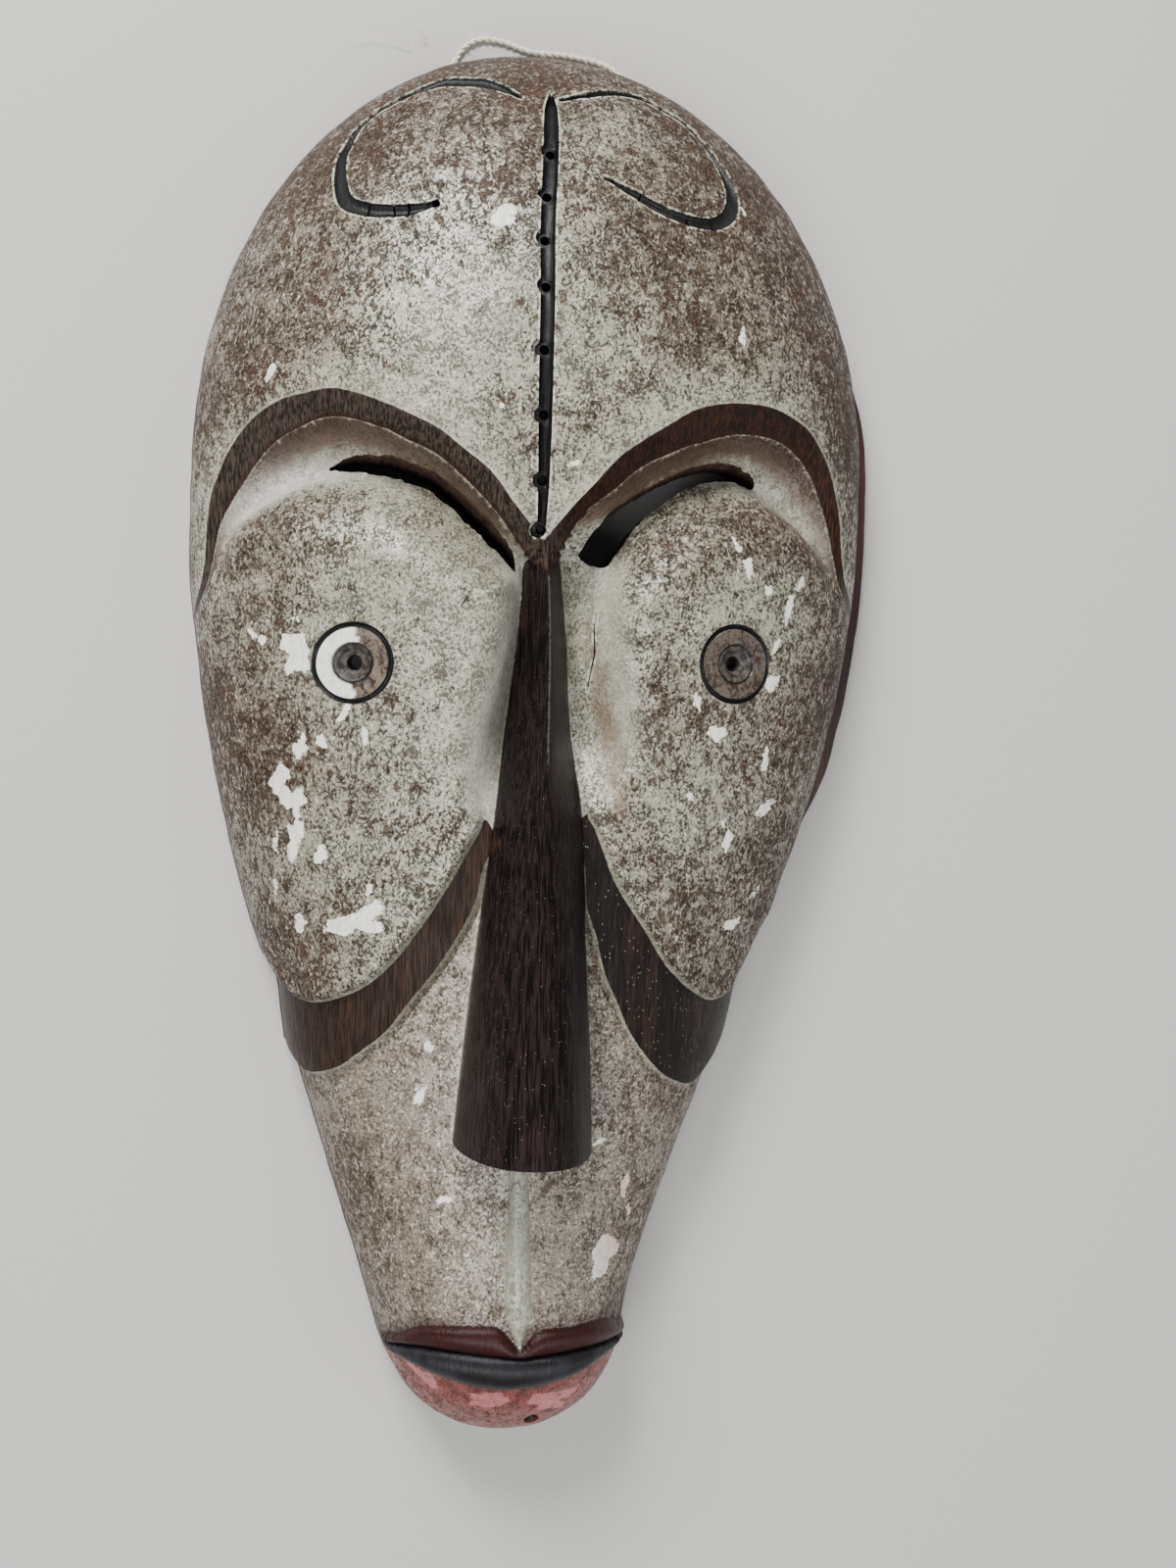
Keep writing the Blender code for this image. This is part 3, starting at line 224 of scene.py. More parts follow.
# Painted highlight along its valleys: points where it starts, is full, fades and ends, and its reach on both
# sides
VALLEY_HIGHLIGHT_SPANS = ((1, 3, 6, 8), (9, 11, 15, 17))
VALLEY_HIGHLIGHT_REACH_UP = 0.0035
VALLEY_HIGHLIGHT_REACH_DOWN = 0.0060
# Lower edge of the dark cheek band
BAND_LOW_L = [(-4, -24), (-15, -41), (-18, -54), (-24, -66), (-31, -77), (-38, -86), (-46, -97),
              (-54, -104), (-61, -110), (-67, -113), (-73, -114.5), (-78, -111), (-88, -100)]
BAND_LOW_R = [(8, -24), (17, -38), (19, -54), (23, -65), (26, -76), (31, -86), (36, -96), (42, -104),
              (49, -111), (56, -115), (62, -116.5), (68, -112.5), (80, -98)]
# Eye slits: upper edges, and lower edges that run close to the cheek edge
SLIT_TOP_L = [(-78, 84.5), (-74, 87), (-68, 88.5), (-60, 88.5), (-54, 88), (-46, 86), (-36, 82),
              (-27, 76), (-19, 69), (-13, 63), (-8.5, 57)]
SLIT_LOW_L = [(-7.5, 51), (-12, 55.5), (-24, 65.5), (-32, 72), (-41, 77.5), (-51, 80.5), (-60, 82.5),
              (-69, 83.6)]
SLIT_TOP_R = [(14, 57.5), (18, 65), (24, 72), (32, 78), (42, 83.5), (52, 88), (62, 91), (69, 92),
              (76, 91), (82, 88.5)]
SLIT_LOW_R = [(82.5, 84.6), (76, 86.5), (65, 85.6), (52, 80.6), (44, 75), (38, 70.5), (32, 64),
              (28, 58.5), (24.5, 54), (19, 54.5)]
# Nose: height on the mask, axis, half width, and the height of its ridge
NOSE = [(61, 0.6, 3.2, 80.5), (55, 1.4, 6.0, 82), (45, 2.0, 7.4, 84), (30, 2.4, 9.0, 86.5),
        (14, 2.4, 10.4, 89), (-2, 2.2, 12.0, 91.3), (-20, 1.9, 13.8, 93.7), (-41, 1.6, 15.9, 96.5),
        (-62, 1.2, 17.9, 99), (-85, 0.8, 20, 101.3), (-108, 0.6, 22, 103.5), (-133, 0.3, 24, 105)]
# Where its section turns from sharp to round, and the spacing of its mesh
NOSE_ROUND_FROM = 10
NOSE_ROUND_TO = -95
NOSE_COLUMN_COUNT = 37
NOSE_STEP = 0.0022
NOSE_GROUND_EVENING = 0.030
NOSE_GROUND_POINTS = 90
NOSE_END_ROWS = (0.0, 0.00008, 0.00016, 0.00024, 0.00032, 0.0004)
# Low ground beside the nose: height on the mask and depth under the dome
LOW_Y = [-45, -35, -20, -5, 10]
LOW_DEPTH = [6, 7, 12, 17, 20]
# Mouth
LIP_TOP = [(-46, -206), (-39, -202), (-33, -197), (-26, -194.3), (-12, -193), (-6, -193.4), (-2, -197),
           (1.5, -201), (5.5, -196.5), (10, -194.3), (19, -194.7), (29, -194.5), (36, -197), (44, -203)]
MOUTH = [(-46, -206), (-40, -205), (-32, -203), (-21, -202.4), (-9, -203), (1.5, -203.6), (11, -203.2),
         (23, -203), (36, -203.6), (44, -203)]
LIP_LOW = [(-46, -206), (-38, -208), (-31, -210), (-23, -212), (-14, -214), (-3, -215), (5, -214.6),
           (14, -213), (23, -211), (30, -208), (36, -206), (44, -203)]
PHILTRUM = [(-0.5, -133.6, 3.2), (-0.3, -150, 3.6), (0.2, -170, 4.2), (0.6, -187, 4.4), (1, -195, 2.6),
            (1.4, -201, 0.5)]
# Centre groove of the forehead: x, y and width
CENTRE_GROOVE = [(1, 212, 1), (0.6, 206, 3.8), (0.4, 200, 4.8), (0, 188, 5), (-0.9, 172, 4.9),
                 (-1.4, 157, 4.8), (-1.2, 142, 4.7), (-1.3, 121, 4.6), (-1.2, 101, 4.4), (-1, 80, 3.6),
                 (-1.1, 67, 2.8)]
# Small holes along the centre groove
STITCHES = [(0, 188.3), (-1.4, 172.5), (-2.1, 157.3), (-1.6, 141.8), (-1.8, 121.4), (-1.6, 100.8),
            (-1.3, 80.3), (-1.2, 65)]
# Curved grooves on both sides: x, y and width
HORN_L = [(-9, 209, 1.4), (-19, 214.5, 4.4), (-32, 216.5, 4.6), (-44, 212.5, 2.2), (-53, 207.5, 1.6),
          (-60, 201, 1.8), (-64, 194, 2.4), (-66.5, 186, 3.4), (-66.5, 177, 4.2), (-64.5, 170, 5.2),
          (-58, 166.5, 5), (-50, 165.5, 4.5), (-43, 166, 3.6), (-37, 167.5, 2)]
HORN_R = [(4, 209, 1.4), (13, 212.5, 2.4), (22, 215.5, 2.8), (33, 215.5, 1.9), (41, 211.5, 1.7),
          (48, 207, 1.7), (55, 198, 2.2), (60, 189, 3.4), (62, 181, 4.4), (60, 173.5, 5), (54, 169, 4.3),
          (46, 168.5, 3.8), (37, 170.5, 3.4), (27, 175, 2.8), (17, 180, 1.2)]
# Cuts across the horn grooves, and a crack beside the nose: x, y and width
NOTCHES = [[(-57.5, 169, 0.7), (-58.5, 164, 0.7)], [(-50, 168, 0.6), (-49.5, 163, 0.6)],
           [(-45, 168, 0.8), (-45.5, 164, 0.8)], [(12.6, 214, 0.7), (13.4, 211, 0.7)],
           [(53.6, 171, 0.8), (55, 167, 0.8)], [(45.4, 170.6, 0.6), (45, 166.4, 0.6)],
           [(29.4, 175.6, 0.7), (28, 172.6, 0.7)]]
CRACK = [(20.4, 40, 0.2), (19.8, 34, 0.4), (20.2, 27, 0.5), (19.4, 20, 0.4), (19, 14, 0.2)]
# Tan stain beside the nose: x, y and half width
STAIN = [(18.5, 36, 0.3), (20.5, 24, 1.8), (25, 6, 2.6), (28, -8, 3.2), (28, -20, 2.4), (31, -30, 0.3)]
# Small hole at the inner end of the left groove, and the middles of the eyes
HORN_HOLE = (-36.5, 167.6)
EYES = [(-59, 22), (66, 26)]
# Dark hole low on the chin
CHIN_SPOT = np.array([0.0080, -0.2300])
CHIN_SPOT_RADIUS = 0.0026
# Twine: its two holes, then the share of the span between them and how far out of the rim it lies (mm)
TWINE_HOLES = [(-29, 235), (40, 231)]
TWINE_OUTSIDE = [(0.02, 8.5), (0.06, 13.4), (0.15, 17.2), (0.275, 17.2), (0.44, 14.6), (0.66, 14.6),
                 (0.86, 12.6), (0.96, 8.5)]
TWINE_STRAIGHT = 0.0030
TWINE_STEP = 0.0025
TWINE_OVER_FLOOR = 0.00005
PLY_RADIUS = 0.00062
PLY_OFFSET = 0.00046
PLY_PITCH = 0.0052
PLY_STEP = 0.0005
KNOT_STRAND_RADIUS = 0.00100
KNOT_INSET = 0.00105
KNOT_POINTS = 90
STRAND_SIDES = 10
# Thickest and thinnest radius of the fibres, and shortest and longest fuzz
FIBRE_RADII = (0.00020, 0.00010)
FUZZ_RADII = (0.00009, 0.00004)
FUZZ_LENGTH = (0.0012, 0.0042)
FUZZ_BEND = 0.6
FUZZ_POINTS = 7
# Long loose fibres of the twine, in millimetres on the mask
LONG_FIBRES = [[(24, 239, 3), (31, 236, 3.4), (38, 232, 3), (45, 234, 2.4), (53, 238, 2)],
               [(-44, 247, 2), (-50, 249, 3), (-57, 250, 3.4), (-66, 248, 2.6)],
               [(-38, 250, 2), (-41, 252, 4), (-39, 255, 6)]]
FUZZ_COUNT = 60
HOLLOW_WALL_LEAN = 0.06
SLOPE_STEP = 0.00005
# Points of a smooth line for each drawn one, and a distance well outside the mask
SPAN = 4
FAR = 0.4
# Value that the parts behind the front get, in millimetres, so that none of its paint falls on them
NO_PAINT = -20.0
# Patches of more or less rubbed paint: amount, middle, width and height in metres; the less rubbed ones on
# the forehead left of the groove and on the upper left cheek are painted highlights
WEAR_AND_HIGHLIGHT_PATCHES = ((-0.25, -0.030, 0.055, 0.030, 0.022), (-0.28, -0.026, 0.140, 0.032, 0.042),
                (0.20, -0.050, -0.005, 0.022, 0.030), (-0.16, -0.055, 0.050, 0.040, 0.040),
                (-0.12, -0.030, -0.020, 0.030, 0.050))

# Raggedness of the chips, and how far from its middle one is looked for
CHIP_RAGGEDNESS = 0.60
CHIP_SEARCH = 0.02
# White chips in the paint: x, y, width, height and turn in degrees
CHIPS = [(-77, 25.5, 10, 11.5, 3), (-77, 36, 2.4, 2.4, 0), (-91, 31, 2.6, 4, 20), (-88, 29, 2.2, 3.6, 0),
         (-61, 6.5, 2.4, 8, -25), (-75, -5, 4, 9, -8), (-81, -15, 6.4, 8, 10), (-68, -2.5, 3.4, 4, 0),
         (-54.5, -1, 2.8, 4.6, 0), (-47, 53, 1.8, 2.4, 0), (-81, -18, 6.6, 8.6, 0),
         (-76, -22.5, 7, 10.5, -15), (-76, -35, 4.8, 14, 0), (-82, -35, 1.9, 7, 0),
         (-67.5, -40, 5, 5.6, 30), (-82, -51, 1.9, 5.6, -5), (-51.5, -50, 2.3, 4.8, 0),
         (-57, -62, 13.5, 8, 0), (-50.5, -57, 5.6, 7.6, -20),
         (-73.5, -62.5, 4.2, 5.2, 0), (-34.8, -118.3, 3.6, 7.6, -5), (-32.6, -102, 1.8, 3, 0),
         (-26, -152.6, 4.2, 2.3, 0), (28.7, -133.8, 5.4, 2.4, 10), (39.4, -150.4, 3.6, 7.4, -5),
         (41.4, -159, 2.2, 3.4, 0), (31, -172, 8.4, 14.5, -10), (68.6, 58, 3.4, 8, 15),
         (65.3, 64, 1.8, 4.6, 20), (76.5, 50.5, 2.3, 3.6, 10), (85, 45, 2.3, 11.5, -10),
         (89, 54, 2.4, 4.8, -30), (80, 21, 4, 5.8, -25), (81, 33, 1.8, 5.4, -30),
         (53, 12.5, 2.8, 4.6, 10), (60.5, 3.5, 5.6, 5, 0), (79.5, -5, 1.8, 7.2, 0),
         (52.5, -18, 2.3, 3, 0), (64.6, -26, 2.4, 3.6, 0), (66.6, -32, 3.4, 5.8, -10),
         (81, -21, 11.5, 2.8, 35), (79.4, -50, 1.9, 7, -30), (70.7, -60.7, 6.6, 3.6, 10),
         (-15, 164, 7.6, 8.4, 20), (-87, 115, 2.2, 5.6, -10), (-15, 102.6, 2.2, 2.2, 0),
         (8.4, 86, 3.2, 2, 30), (63.7, 131, 2.2, 4.6, 0), (65.6, 177, 3, 2, 0)]
# Pink patches on the chin, given like the chips
CHIN_PATCHES = [(-8, -219.5, 13, 5, 5), (12, -221.5, 12, 6.5, -8), (-29, -214, 9, 4, -25),
                (20, -219, 6, 4, 20)]


def ramp(start, end, x):
    """0 at start, 1 at end, smooth between."""
    t = np.clip((x - start) / (end - start), 0, 1)
    return t * t * (3 - 2 * t)


def table(xs, ys):
    """Smooth curve through a table, with one slope at each station."""
    xs = np.asarray(xs, float)
    ys = np.asarray(ys, float)
    slope = np.gradient(ys, xs)

    def read(x):
        x = np.clip(x, xs[0], xs[-1])
        i = np.clip(np.searchsorted(xs, x) - 1, 0, len(xs) - 2)
        step = xs[i + 1] - xs[i]
        t = (x - xs[i]) / step
        ends = (2 * t**3 - 3 * t**2 + 1) * ys[i] + (3 * t**2 - 2 * t**3) * ys[i + 1]
        return ends + step * ((t**3 - 2 * t**2 + t) * slope[i] + (t**3 - t**2) * slope[i + 1])

    return read


def unit(vectors):
    """The same directions, each of length 1."""
    return vectors / np.linalg.norm(vectors, axis=-1, keepdims=True)


def away_from(points, place):
    """Distance of each point from a place in the plan."""
    return np.hypot(*(points - place).T)


def lengths_along(line):
    """Length of a line up to each of its points."""
    return np.concatenate([[0], np.cumsum(np.hypot.reduce(np.diff(line, axis=0), axis=1))])


def points_at(line, lengths, at):
    """The rows of a line at places given as lengths along it."""
    return np.column_stack([np.interp(at, lengths, column) for column in line.T])


left_half = table(STATION_Y, LEFT_HALF)
right_half = table(STATION_Y, RIGHT_HALF)
crest = table(CREST_Y, CREST_Z)
hollow_share = table(HOLLOW_Y, HOLLOW_SHARE)


def muzzle_drop(y):
    """How far the muzzle lies under the dome; it fades out above the mouth."""
    return MUZZLE_DROP * ramp(*MUZZLE_FADE_Y, y)


def end_factor(y, inset=0.0, power=2.0):
    """Rounds the forehead end and the chin end off."""
    top = np.clip((y - TOP_Y) / (TOP_HEIGHT - inset), 0, 1) ** power
    chin = np.clip((CHIN_Y - y) / (CHIN_HEIGHT - inset), 0, 1) ** 2
    return np.sqrt((1 - top) * (1 - chin))


def half_width(x, y):
    """Half width of the dome on the side where x lies."""
    y_in = np.clip(y, STATION_Y[0], TOP_Y)
    half = np.where(x < 0, left_half(y_in), right_half(y_in))
    half = half + muzzle_drop(y_in) * ramp(*MUZZLE_WIDEN_Y, y_in)
    return half * end_factor(y)


def arch(across, roundness):
    """1 in the middle and 0 at the sides."""
    return np.sqrt(np.clip(1 - across**roundness, 0, 1))


def dome(x, y):
    """Height of the base dome over the rim plane."""
    across = np.abs(x / np.maximum(half_width(x, y), 1e-6))
    rise = crest(np.clip(y, STATION_Y[0], TOP_Y)) - RIM_BAND_HEIGHT
    return RIM_BAND_HEIGHT + rise * end_factor(y, power=END_ROUNDNESS) * arch(across, DOME_ROUNDNESS)


def dome_normal(x, y):
    gx = (dome(x + SLOPE_STEP, y) - dome(x - SLOPE_STEP, y)) / (2 * SLOPE_STEP)
    gy = (dome(x, y + SLOPE_STEP) - dome(x, y - SLOPE_STEP)) / (2 * SLOPE_STEP)
    return unit(np.stack([-gx, -gy, np.ones_like(gx)], axis=-1))


def hollow_half_width(x, y):
    y_in = np.clip(y, STATION_Y[0], TOP_Y)
    half = np.where(x < 0, left_half(y_in), right_half(y_in)) - RIM_WALL
    return half * end_factor(y, RIM_WALL)


def hollow(x, y):
    """Height of the hollow back over the rim plane."""
    across = np.abs(x / np.maximum(hollow_half_width(x, y), 1e-6))
    rise = HOLLOW_HEIGHT * hollow_share(y) * end_factor(y, RIM_WALL, END_ROUNDNESS)
    return rise * arch(across, HOLLOW_ROUNDNESS)


def plan(points):
    """Drawing points in metres; further columns are in millimetres."""
    rows = np.array(points, float)
    rows[:, 0] *= UX
    rows[:, 1] *= UY
    rows[:, 2:] *= 0.001
    return rows


def smooth_line(points, per_span=SPAN):
    """Catmull-Rom curve through the rows, with every column interpolated."""
    rows = np.asarray(points, float)
    ends = np.vstack([2 * rows[0] - rows[1], rows, 2 * rows[-1] - rows[-2]])
    t = (np.arange(per_span) / per_span)[:, None]
    spans = []
    for a, b, c, d in zip(ends, ends[1:], ends[2:], ends[3:]):
        spans.append(0.5 * (2 * b + (c - a) * t + (2 * a - 5 * b + 4 * c - d) * t**2
                            + (3 * b - a - 3 * c + d) * t**3))
    return np.vstack(spans + [rows[-1:]])


def nearest(points, line):
    """Distance to a polyline and the place on it, counted in its points."""
    start = line[:-1, :2]
    span = line[1:, :2] - start
    length2 = np.maximum((span**2).sum(axis=1), 1e-18)
    best = np.full(len(points), np.inf)
    place = np.zeros(len(points))
    for i in range(len(start)):
        offset = points - start[i]
        t = np.clip(offset @ span[i] / length2[i], 0, 1)
        gap = np.hypot(*(offset - t[:, None] * span[i]).T)
        closer = gap < best
        best[closer] = gap[closer]
        place[closer] = i + t[closer]
    return best, place


def along(line, place, column):
    """Reads a column of a line at places counted in its points."""
    return np.interp(place, np.arange(len(line)), line[:, column])


def inside(points, polygon):
    """Which points lie in a closed polygon."""
    x, y = points.T
    odd = np.zeros(len(points), bool)
    for (xa, ya), (xb, yb) in zip(polygon, np.roll(polygon, -1, axis=0)):
        crosses = (ya > y) != (yb > y)
        if ya != yb:
            odd ^= crosses & (x < (xb - xa) * (y - ya) / (yb - ya) + xa)
    return odd


brow_outer = {-1: smooth_line(plan(BROW_OUTER_L)), 1: smooth_line(plan(BROW_OUTER_R))}
brow_inner = {-1: smooth_line(plan(BROW_INNER_L)), 1: smooth_line(plan(BROW_INNER_R))}
cheek_edge = {-1: smooth_line(plan(CHEEK_L)), 1: smooth_line(plan(CHEEK_R))}
band_low = {-1: smooth_line(plan(BAND_LOW_L)), 1: smooth_line(plan(BAND_LOW_R))}
for edge_line in cheek_edge.values():
    edge_line[:, 4] *= 1000
lip_top = smooth_line(plan(LIP_TOP))
mouth = smooth_line(plan(MOUTH))
lip_low = smooth_line(plan(LIP_LOW))
centre_groove = smooth_line(plan(CENTRE_GROOVE))
horns = [smooth_line(plan(HORN_L)), smooth_line(plan(HORN_R))]
notches = [plan(each) for each in NOTCHES]
crack = smooth_line(plan(CRACK))
stain = smooth_line(plan(STAIN))
philtrum = plan(PHILTRUM)
nose = np.column_stack([np.array(NOSE)[:, 0] * UY, np.array(NOSE)[:, 1:3] * UX, np.array(NOSE)[:, 3] * UZ])
nose = nose[::-1]
nose_axis = table(nose[:, 0], nose[:, 1])
nose_half = table(nose[:, 0], nose[:, 2])
nose_ridge = table(nose[:, 0], nose[:, 3])
stitches = plan(STITCHES)
eyes = plan(EYES)
horn_hole = plan([HORN_HOLE])[0]


def side_region(line, side):
    """Region between a line and the outside."""
    edge = line[:, :2]
    outside = np.array([[side * FAR, edge[-1, 1]], [side * FAR, edge[0, 1]]])
    return np.vstack([edge, outside])


def below(left, right):
    """Region below a line that runs in from the left and out to the right."""
    line = np.vstack([left[:, :2], right[::-1, :2]])
    return np.vstack([[-FAR, line[0, 1]], line, [FAR, line[-1, 1]], [FAR, -FAR], [-FAR, -FAR]])


def regions(points):
    """Which points lie under the brow's outer edge, under its inner edge, and on the muzzle."""
    heart = inside(points, below(brow_outer[-1], brow_outer[1]))
    inner = inside(points, below(brow_inner[-1], brow_inner[1]))
    muzzle = inside(points, below(band_low[-1][::-1], band_low[1][::-1]))
    return heart, inner, muzzle


def socket_depth(points, side, cheek_gap, cheek_place):
    """Depth under the brow, from the brow's inner edge down to the valley."""
    brow_gap, brow_place = nearest(points, brow_inner[side])
    brow_drop = along(brow_inner[side], brow_place, 2)
    valley_drop = along(cheek_edge[side], cheek_place, 2)
    share = brow_gap / np.maximum(brow_gap + cheek_gap, 1e-9)
    return brow_drop + (valley_drop - brow_drop) * (1 - (1 - share) ** SOCKET_ROUNDNESS)


def face_depth(points):
    """Depth of the carving under the dome, without nose, lips and grooves."""
    depth = np.zeros(len(points))
    heart, inner, muzzle = regions(points)
    low_floor = np.interp(points[:, 1], np.array(LOW_Y) * UY, np.array(LOW_DEPTH) * 0.001)
    for side in (-1, 1):
        on_side = (points[:, 0] - nose_axis(points[:, 1])) * side > 0
        brow = on_side & heart & ~inner
        outer_gap, _ = nearest(points[brow], brow_outer[side])
        inner_gap, place = nearest(points[brow], brow_inner[side])
        share = outer_gap / np.maximum(outer_gap + inner_gap, 1e-9)
        depth[brow] = share * along(brow_inner[side], place, 2)

        cheek = on_side & inside(points, side_region(cheek_edge[side], side)) & inner
        gap, place = nearest(points[cheek], cheek_edge[side])
        drop = along(cheek_edge[side], place, 2)
        roll = along(cheek_edge[side], place, 3)
        depth[cheek] = drop * np.clip(1 - gap / roll, 0, 1) ** 2

        low = on_side & inner & ~cheek & ~muzzle
        gap, place = nearest(points[low], cheek_edge[side])
        under_brow = socket_depth(points[low], side, gap, place)
        fall = along(cheek_edge[side], place, 4)
        beside = along(cheek_edge[side], place, 2) + fall * gap
        beside = np.minimum(beside, np.maximum(low_floor[low], BAND_DROP))
        blend = ramp(UNDER_BROW_END * SPAN, NOSE_SIDE_START * SPAN, place)
        depth[low] = under_brow * (1 - blend) + beside * blend

        here = on_side & muzzle & ~cheek
        gap, _ = nearest(points[here], band_low[side])
        step = BAND_DROP + (MUZZLE_DROP - BAND_DROP) * gap / BEVEL_WIDTH
        depth[here] = np.minimum(step, muzzle_drop(points[here, 1]))
    return depth


def groove_reach(points, line):
    """How far inside a groove of varying width the points lie, and its half width there."""
    gap, place = nearest(points, line)
    half = along(line, place, 2) / 2
    return half - gap, half


def groove_depth(points):
    """The centre groove, the horns, their cuts and the crack."""
    depth = np.zeros(len(points))
    cuts = [(centre_groove, GROOVE_DEPTH), (crack, CRACK_DEPTH)]
    cuts += [(horn, HORN_DEPTH) for horn in horns] + [(notch, NOTCH_DEPTH) for notch in notches]
    for line, deep in cuts:
        reach, half = groove_reach(points, line)
        across = np.clip(1 - reach / np.maximum(half, 1e-6), 0, 1)
        depth = np.maximum(depth, deep * np.sqrt(1 - across**2) * (reach > 0))
    return depth


def eye_depth(gap):
    """Section of an eye: ring groove, inner line, turned cone and hole."""
    depth = np.zeros(len(gap))
    for radius, width, deep in EYE_LINES:
        depth += deep * np.sqrt(np.clip(1 - (2 * (gap - radius) / width) ** 2, 0, 1))
    cone = np.clip((PUPIL_RADIUS - gap) / (PUPIL_RADIUS - PUPIL_HOLE_RADIUS), 0, 1)
    return depth + PUPIL_CONE_DEPTH * cone + PUPIL_HOLE_DEPTH * (gap < PUPIL_HOLE_RADIUS)


def eye_radii():
    """Radii of the circles that an eye's triangles follow."""
    radii = list(EYE_MESH_RADII)
    for radius, width, _ in EYE_LINES:
        radii += [radius + width * share for share in EYE_LINE_SHARES]
    return radii


def round_pits(points):
    """Blind holes of the grooves, and the turned eyes."""
    depth = np.zeros(len(points))
    for centre in stitches:
        gap = away_from(points, centre)
        notch = away_from(points - centre, -STITCH_NOTCH_SHIFT)
        depth = np.where(notch < STITCH_NOTCH_RADIUS, GROOVE_DEPTH, depth)
        depth = np.where(gap < STITCH_HOLE_DIAMETER * sum(STITCH_CIRCLES) / 2, STITCH_HOLE_DEPTH, depth)
    depth = np.where(away_from(points, horn_hole) < HORN_HOLE_RADIUS, STITCH_HOLE_DEPTH, depth)
    depth = np.where(away_from(points, CHIN_SPOT) < CHIN_SPOT_RADIUS, STITCH_HOLE_DEPTH / 2, depth)
    for centre in eyes:
        depth += eye_depth(away_from(points, centre))
    return depth


def mouth_rise(points):
    """Lips stand proud on both sides of the mouth line."""
    rise = np.zeros(len(points))
    line_gap, _ = nearest(points, mouth)
    for edge in (lip_top, lip_low):
        lip = inside(points, np.vstack([edge[:, :2], mouth[::-1, :2]]))
        edge_gap, _ = nearest(points, edge)
        share = line_gap / np.maximum(line_gap + edge_gap, 1e-9)
        bulge = LIP_HEIGHT * np.clip(4 * share * (1 - share), 0, 1) ** LIP_ROUNDNESS
        rise[lip] = bulge[lip]
    corners = ramp(*LIP_FADE, np.abs(points[:, 0]) / np.maximum(half_width(*points.T), 1e-6))
    return rise * corners


def philtrum_rise(points):
    """A low ridge from the nose down to the dip of the upper lip."""
    rows = philtrum[::-1]
    axis = np.interp(points[:, 1], rows[:, 1], rows[:, 0])
    half = np.interp(points[:, 1], rows[:, 1], rows[:, 2], left=1e-6, right=1e-6)
    across = np.clip(np.abs(points[:, 0] - axis) / half, 0, 1)
    return PHILTRUM_HEIGHT * (1 - across**2) * (half > 1e-5)


def ripple(points, seed, wavelength, count=14):
    """Gentle seeded waves between about -1 and 1."""
    rng = np.random.default_rng(seed)
    turn = rng.uniform(0, 2 * math.pi, count)
    length = wavelength * rng.uniform(0.7, 1.6, count)
    phase = rng.uniform(0, 2 * math.pi, count)
    waves = points @ np.array([np.cos(turn), np.sin(turn)]) * (2 * math.pi / length) + phase
    return np.sin(waves).sum(axis=1) / math.sqrt(count)


def carving_depth(points):
    """Total depth along the dome's normal, all features but the nose."""
    depth = face_depth(points) + np.maximum(groove_depth(points), round_pits(points))
    depth -= mouth_rise(points) + philtrum_rise(points)
    for seed, length, high in SURFACE_WAVES:
        depth += high * ripple(points, seed, length)
    return depth


def ground_under_nose(y):
    """Height of the ground under the nose, evened out along it."""
    at = np.linspace(nose[0, 0], nose[-1, 0], NOSE_GROUND_POINTS)
    heights = np.zeros(len(at))
    for side in (-1, 1):
        edge = np.column_stack([nose_axis(at) + side * nose_half(at), at])
        heights += (dome(*edge.T) - face_depth(edge)) / 2
    reach = NOSE_GROUND_EVENING / (at[1] - at[0])
    weights = np.hanning(2 * int(reach) + 3)
    padded = np.pad(heights, len(weights) // 2, mode="edge")
    return np.interp(y, at, np.convolve(padded, weights / weights.sum(), mode="valid"))


def nose_rise(points, surface_z):
    """How far the nose stands over the carved ground, straight up."""
    x, y = points.T
    across = np.clip(np.abs(x - nose_axis(y)) / nose_half(y), 0, 1)
    rounding = ramp(NOSE_ROUND_FROM * UY, NOSE_ROUND_TO * UY, y)
    section = (1 - rounding) * (1 - across**NOSE_TOP_SECTION) + rounding * arch(across, NOSE_LOW_SECTION)
    evened = (ground_under_nose(y) - surface_z) * ramp(1.0, 0.8, across)
    beyond = np.clip((nose[0, 0] - y) / NOSE_END_ROWS[-1], 0, 1)
    rise = evened + np.maximum(nose_ridge(y) - surface_z - evened, 0) * section
    return np.maximum(rise, 0) * arch(beyond, 4) * (y <= nose[-1, 0])


def front_surface(points):
    """Points of the finished front over plan points."""
    x, y = points.T
    shape = np.stack([x, y, dome(x, y)], axis=-1) - dome_normal(x, y) * carving_depth(points)[:, None]
    shape[:, 2] += nose_rise(points, shape[:, 2])
    return shape


def outline(count, width, height_inset):
    """Closed outline, counted counter-clockwise from the top, evenly spaced."""
    turn = np.linspace(0, math.pi / 2, OUTLINE_END_POINTS)
    sides = []
    for side in (-1, 1):
        top_y = TOP_Y + (TOP_HEIGHT - height_inset) * np.cos(turn)
        flank_y = np.linspace(TOP_Y, CHIN_Y, OUTLINE_FLANK_POINTS)[1:]
        chin_y = CHIN_Y - (CHIN_HEIGHT - height_inset) * np.sin(turn)[1:]
        y = np.concatenate([top_y, flank_y, chin_y])
        x = side * width(np.full(len(y), float(side)), y)
        x[0] = x[-1] = 0.0
        sides.append(np.column_stack([x, y]))
    loop = np.vstack([sides[0], sides[1][-2::-1]])
    steps = lengths_along(loop)
    return points_at(loop, steps, np.linspace(0, steps[-1], count, endpoint=False))


def ring_normals(ring):
    """Outward directions of a closed counter-clockwise ring."""
    tangent = unit(np.roll(ring, -1, axis=0) - np.roll(ring, 1, axis=0))
    return np.column_stack([tangent[:, 1], -tangent[:, 0]])


def rim_reach(points):
    """How far the rim stands out past the front; it flares beside the right cheek."""
    y = points[:, 1]
    right = ramp(*FLARE_LOW_Y, y) * ramp(*FLARE_HIGH_Y, y) * (points[:, 0] > 0)
    return RIM_LIP + RIM_FLARE * right


